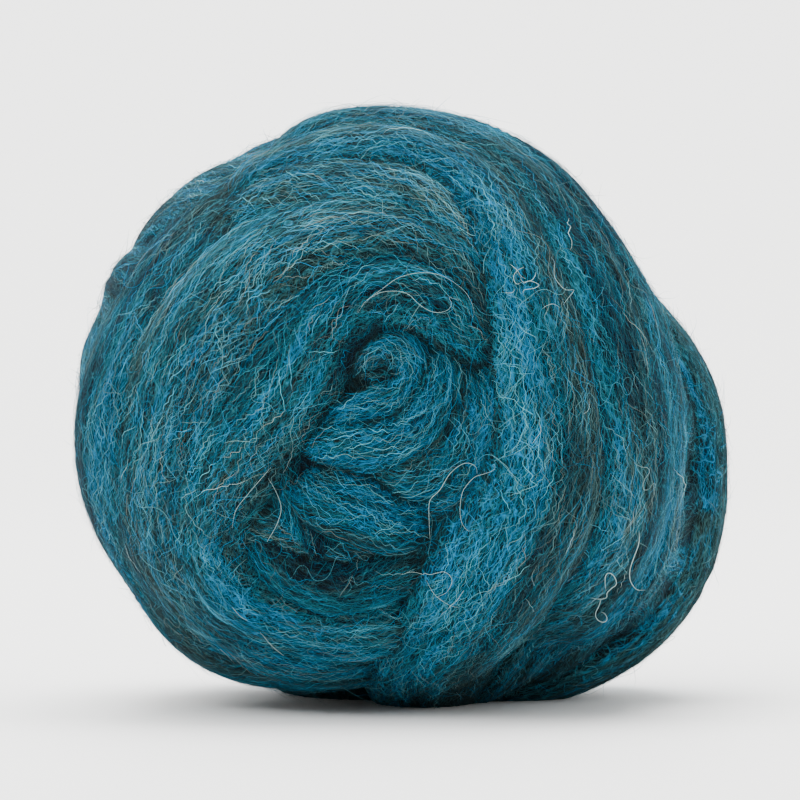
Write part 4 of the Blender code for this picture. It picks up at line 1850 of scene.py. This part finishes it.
@dataclass(frozen=True)
class LooseHairs:
    """The hairs that stand off the ball: a short fuzz all round, long strays over it, and stiff pale kemps.

    Attributes:
        fuzz_height: Shape and scale of the gamma draw of the fuzz's heights, and the most.
        stray_face_share: How many more of the strays lie on the face than on the back.
        stray_waves: For each of their slow waves, least and most swing, and least and most speed.
        stray_end_dip: How far their ends go down into the skin.
        tone_stray: Mean and spread of a hair's tone from the wool under it.
        brighter: Least and most of how much brighter than that wool a hair is.
        kemp_moves: How often the kemps are moved towards their places.
        kemp_move: Share of the way that they are moved each time.
    """

    skin: Skin
    material: Material
    seed: int = 211
    fuzz: int = 3000
    fuzz_points: int = 5
    fuzz_length: Pair = (0.0020, 0.0058)
    fuzz_height: Triple = (2.0, 0.00042, 0.0026)
    fuzz_radius: Pair = (0.000022, 0.000040)
    strays: int = 420
    stray_points: int = 26
    stray_face_share: float = 0.8
    stray_length: Pair = (0.008, 0.022)
    stray_waves: tuple[Four, ...] = ((0.6, 1.5, 7, 16), (0.1, 0.5, 16, 26))
    stray_lift: Pair = (0.0002, 0.0011)
    stray_end_dip: float = 0.0006
    stray_radius: Pair = (0.000024, 0.000038)
    tone_stray: Pair = (0.14, 0.13)
    brighter: Pair = (0.7, 1.6)
    kemp_points: int = 36
    kemp_moves: int = 5
    kemp_move: float = 0.8

    def axes(self, outward: Array, rng: np.random.Generator) -> tuple[Array, Array]:
        """Two directions at right angles on the surface, turned at random for each outward direction."""
        first = unit(np.cross(outward, rng.normal(size=outward.shape)))
        return first, np.cross(outward, first)

    def fuzz_paths(self, rng: np.random.Generator) -> tuple[Array, Array, Array]:
        """Short hairs that lean out: along the surface in a bend, and out along a quarter of a sine.

        Args:
            rng: Random numbers.

        Returns:
            The roots' grid points, the points of each hair, and their radii.
        """
        form, count = self.skin.form, self.fuzz
        roots = form.roots(rng, count, 0.0)
        outward = form.grid.directions[roots]
        first, second = self.axes(outward, rng)
        t = np.linspace(0, 1, self.fuzz_points)[None, :, None]
        length = rng.uniform(*self.fuzz_length, (count, 1, 1))
        shape, scale, most = self.fuzz_height
        height = rng.gamma(shape, scale, (count, 1, 1)).clip(0, most)
        bend = rng.normal(0, 0.7, (count, 1, 1))
        curl = rng.normal(0, 0.12, (count, 1, 1)) * np.sin(rng.uniform(3, 7, (count, 1, 1)) * t)
        points = (
            form.points[roots][:, None, :]
            + first[:, None, :] * length * t
            + second[:, None, :] * length * (bend * t**2 + curl)
            + outward[:, None, :] * (height * np.sin(t * math.pi / 2) - 0.0002)
        )
        points[..., 2] = np.maximum(points[..., 2], 0.0001)
        return roots, points, rng.uniform(*self.fuzz_radius, (count, 1)) * (1.15 - t[..., 0])

    def stray_paths(self, rng: np.random.Generator) -> tuple[Array, Array, Array]:
        """Long hairs that wander over the surface: their heading swings in two slow waves.

        Args:
            rng: Random numbers.

        Returns:
            The roots' grid points, the points of each hair, and their radii.
        """
        form, count, each = self.skin.form, self.strays, self.stray_points
        roots = form.roots(rng, count, self.stray_face_share)
        start = form.grid.directions[roots]
        first, second = self.axes(start, rng)
        s = np.linspace(0, 1, each)[None, :]
        length = rng.uniform(*self.stray_length, (count, 1))
        phase = rng.uniform(0, TURN, (3, count, 1))
        heading = rng.normal(0, 2.2, (count, 1)) * s
        for (least, most, slow, fast), start_phase in zip(self.stray_waves, phase):
            swing = rng.uniform(least, most, (count, 1))
            heading = heading + swing * np.sin(rng.uniform(slow, fast, (count, 1)) * s + start_phase)
        step = length / (each - 1)
        x = np.cumsum(np.cos(heading) * step, axis=1)[..., None]
        y = np.cumsum(np.sin(heading) * step, axis=1)[..., None]
        reach = form.radius[roots][:, None, None]
        way = unit(start[:, None, :] + (first[:, None, :] * x + second[:, None, :] * y) / reach)
        top = rng.uniform(*self.stray_lift, (count, 1))
        wave = np.sin(rng.uniform(2, 7, (count, 1)) * s + phase[2])
        lift = top * (0.55 + 0.45 * wave) - self.stray_end_dip * (2 * s - 1) ** 8
        points = form.placed(way, form.skin_radius(way) + lift)
        radii = rng.uniform(*self.stray_radius, (count, 1)) * (1 - 0.6 * (2 * s - 1) ** 4)
        return roots, points, radii

    def kemp_paths(self) -> tuple[Array, Array]:
        """The pale hairs: smooth curves, moved on the ball until they show at the table's places.

        Returns:
            A row of points for each hair, and the radii at them.
        """
        form, body = self.skin.form, self.skin.form.body
        share = np.linspace(0, 1, self.kemp_points)
        wanted = []
        for kemp in KEMPS:
            curve = smooth_curve(np.array([(right, up, 0.0) for right, up in kemp.points]), False, 1.0)
            station = np.linspace(0, 1, len(curve))
            wanted.append([np.interp(share, station, curve[:, k]) for k in (0, 1)])
        wanted = np.concatenate(wanted, axis=1)
        lift = np.outer([kemp.lift * MM for kemp in KEMPS], 0.25 + 0.75 * np.sin(math.pi * share)).ravel()
        places = wanted.copy()
        for _ in range(self.kemp_moves):
            way = body.sight_directions(Side.NEAR, *places)
            points = form.placed(way, form.skin_radius(way) + lift)
            places += self.kemp_move * (wanted - body.sight.seen(points))
        halves = np.array([[kemp.half * MM] for kemp in KEMPS])
        return points.reshape(len(KEMPS), -1, 3), halves * (1 - 0.65 * (2 * share - 1) ** 4)

    @staticmethod
    def tubes(points: Array, radii: Array) -> tuple[Array, Array]:
        """Three-sided tubes along paths, closed at both ends.

        Args:
            points: One row of points for each tube.
            radii: A radius at each point.

        Returns:
            Points and three-cornered faces.
        """
        count, each, _ = points.shape
        along = unit(np.gradient(points, axis=1))
        outward = unit(points - np.array(CENTRE))
        side = unit(np.cross(outward, along))
        up = np.cross(along, side)
        turn = math.pi / 2 + np.arange(3) * TURN / 3
        ring = side[:, :, None, :] * np.cos(turn)[:, None] + up[:, :, None, :] * np.sin(turn)[:, None]
        surface = points[:, :, None, :] + ring * radii[:, :, None, None]
        base = (np.arange(each - 1) * 3)[:, None]
        corner, following = np.arange(3)[None, :], (np.arange(3)[None, :] + 1) % 3
        a, b = base + corner, base + following
        sides = np.concatenate([np.stack([a, b, b + 3], axis=-1), np.stack([a, b + 3, a + 3], axis=-1)])
        last = (each - 1) * 3
        ends = np.array([[0, 2, 1], [last, last + 1, last + 2]])
        one = np.concatenate([sides.reshape(-1, 3), ends])
        faces = one[None, :, :] + (np.arange(count) * each * 3)[:, None, None]
        return surface.reshape(-1, 3), faces.reshape(-1, 3)

    def build(self) -> Object:
        """All the loose hairs as one joined mesh.

        Returns:
            The piece.
        """
        rng = np.random.default_rng(self.seed)
        skin = self.skin
        groups = []
        for roots, points, radii in (self.fuzz_paths(rng), self.stray_paths(rng)):
            tone, shade = skin.fibre_dyes(roots, rng, self.tone_stray)
            groups.append((points, radii, tone, shade * rng.uniform(*self.brighter, len(roots))))
        points, radii = self.kemp_paths()
        groups.append((points, radii, np.full(len(points), Tone.CREAM.value), np.ones(len(points))))
        surfaces, meshes, flat_maps = [], [], []
        total = 0
        for points, radii, tone, shade in groups:
            surface, faces = self.tubes(points, radii)
            surfaces.append(surface)
            meshes.append(faces + total)
            total += len(surface)
            flat_maps.append(skin.chart.maps(tone, shade, len(faces) // len(points), 3))
        maps = {name: np.concatenate([each[name] for each in flat_maps]) for name in flat_maps[0]}
        return new_wool("loose_hairs", np.concatenate(surfaces), np.concatenate(meshes), maps, self.material)


@dataclass(frozen=True)
class Studio:
    """The plain pale floor that turns up behind the ball, its soft lights and the camera."""

    sight: SightFrame = SightFrame()
    picture: int = 800
    sensor: float = 36.0
    near: float = 0.01
    floor_colour: Four = (0.90, 0.90, 0.89, 1.0)
    floor_front: float = -3.0
    floor_half: float = 4.0
    floor_top: float = 4.0
    bend_start: float = 0.7
    bend_radius: float = 0.5
    bend_points: int = 24
    world: float = 0.80

    def floor(self) -> None:
        """A sheet that lies flat and turns up behind the ball: a quarter circle between straight runs."""
        turn = np.linspace(0, math.pi / 2, self.bend_points)
        radius, start = self.bend_radius, self.bend_start
        y = np.concatenate([[self.floor_front], start + radius * np.sin(turn), [start + radius]])
        z = np.concatenate([[0.0], radius * (1 - np.cos(turn)), [self.floor_top]])
        count = len(y)
        sides = [np.stack([np.full(count, side * self.floor_half), y, z], axis=1) for side in (-1, 1)]
        points = np.concatenate(sides)
        i = np.arange(count - 1)
        faces = np.stack([i, i + count, i + count + 1, i + 1], axis=1)
        material = bpy.data.materials.new("pale floor")
        material.use_nodes = True
        shader = material.node_tree.nodes["Principled BSDF"]
        shader.inputs["Base Color"].default_value = self.floor_colour
        shader.inputs["Roughness"].default_value = 0.6
        shader.inputs["Specular IOR Level"].default_value = 0.25
        new_piece("floor", points, faces, {}, material)

    @staticmethod
    def light(name: str, place: Triple, aim: Triple, size: float, power: float) -> None:
        """A square soft light at a place, turned to face a point.

        Args:
            name: Its name.
            place: Where it stands.
            aim: The point that it faces.
            size: Length of its sides.
            power: Its power, in watts.
        """
        lamp = bpy.data.lights.new(name, "AREA")
        lamp.size = size
        lamp.energy = power
        holder = bpy.data.objects.new(name, lamp)
        holder.location = place
        holder.rotation_euler = (Vector(aim) - Vector(place)).to_track_quat("-Z", "Y").to_euler()
        bpy.context.scene.collection.objects.link(holder)

    def camera(self) -> None:
        """The camera at the view's distance and tilt, with the view's step for a picture point."""
        lens = bpy.data.cameras.new("camera")
        lens.sensor_width = self.sensor
        lens.lens = lens.sensor_width * self.sight.distance / (self.picture * self.sight.step)
        lens.clip_start = self.near
        holder = bpy.data.objects.new("camera", lens)
        forward = Vector(self.sight.forward)
        holder.location = Vector(self.sight.middle) - forward * self.sight.distance
        holder.rotation_euler = forward.to_track_quat("-Z", "Y").to_euler()
        bpy.context.scene.collection.objects.link(holder)
        bpy.context.scene.camera = holder

    def build(self) -> None:
        """Sets up the floor, the lights, the sky and the camera."""
        self.floor()
        ball, backdrop = (0.0, 0.0, 0.05), (0.0, 1.0, 0.2)
        self.light("key light", (-0.50, -0.45, 0.85), ball, 0.9, 15.0)
        self.light("top light", (0.00, 0.30, 0.95), ball, 0.8, 7.0)
        self.light("side light", (0.90, 0.05, 0.45), ball, 0.8, 5.0)
        self.light("backdrop light", (0.0, 0.30, 1.6), backdrop, 1.2, 60.0)
        world = bpy.data.worlds.new("studio")
        world.use_nodes = True
        sky = world.node_tree.nodes["Background"]
        sky.inputs["Color"].default_value = (1.0, 1.0, 1.0, 1.0)
        sky.inputs["Strength"].default_value = self.world
        bpy.context.scene.world = world
        self.camera()


def main() -> None:
    """Builds the ball's pieces in order, then the studio."""
    chart = DyeChart()
    dye = chart.group()
    form = WoundForm(Winding(), Relief(), cells=96, gather=0.30)
    LOG.info("wound form: %d points", len(form.points))
    heather = Heather(first_band=len(form.routes) - len(BANDS))
    skin = Skin(form, heather, chart, SkinFinish().make(dye, HairLines().group()))
    skin.build()
    LOG.info("skin built")
    fibre = FibreFinish().make(dye)
    for plan in COATS:
        Coat(skin, plan, fibre).build()
        LOG.info("%s built: %d fibres", plan.name, plan.count)
    LooseHairs(skin, fibre).build()
    LOG.info("loose hairs built")
    Studio().build()
    LOG.info("studio set up")


if __name__ == "__main__":
    logging.basicConfig(level=logging.INFO)
    main()
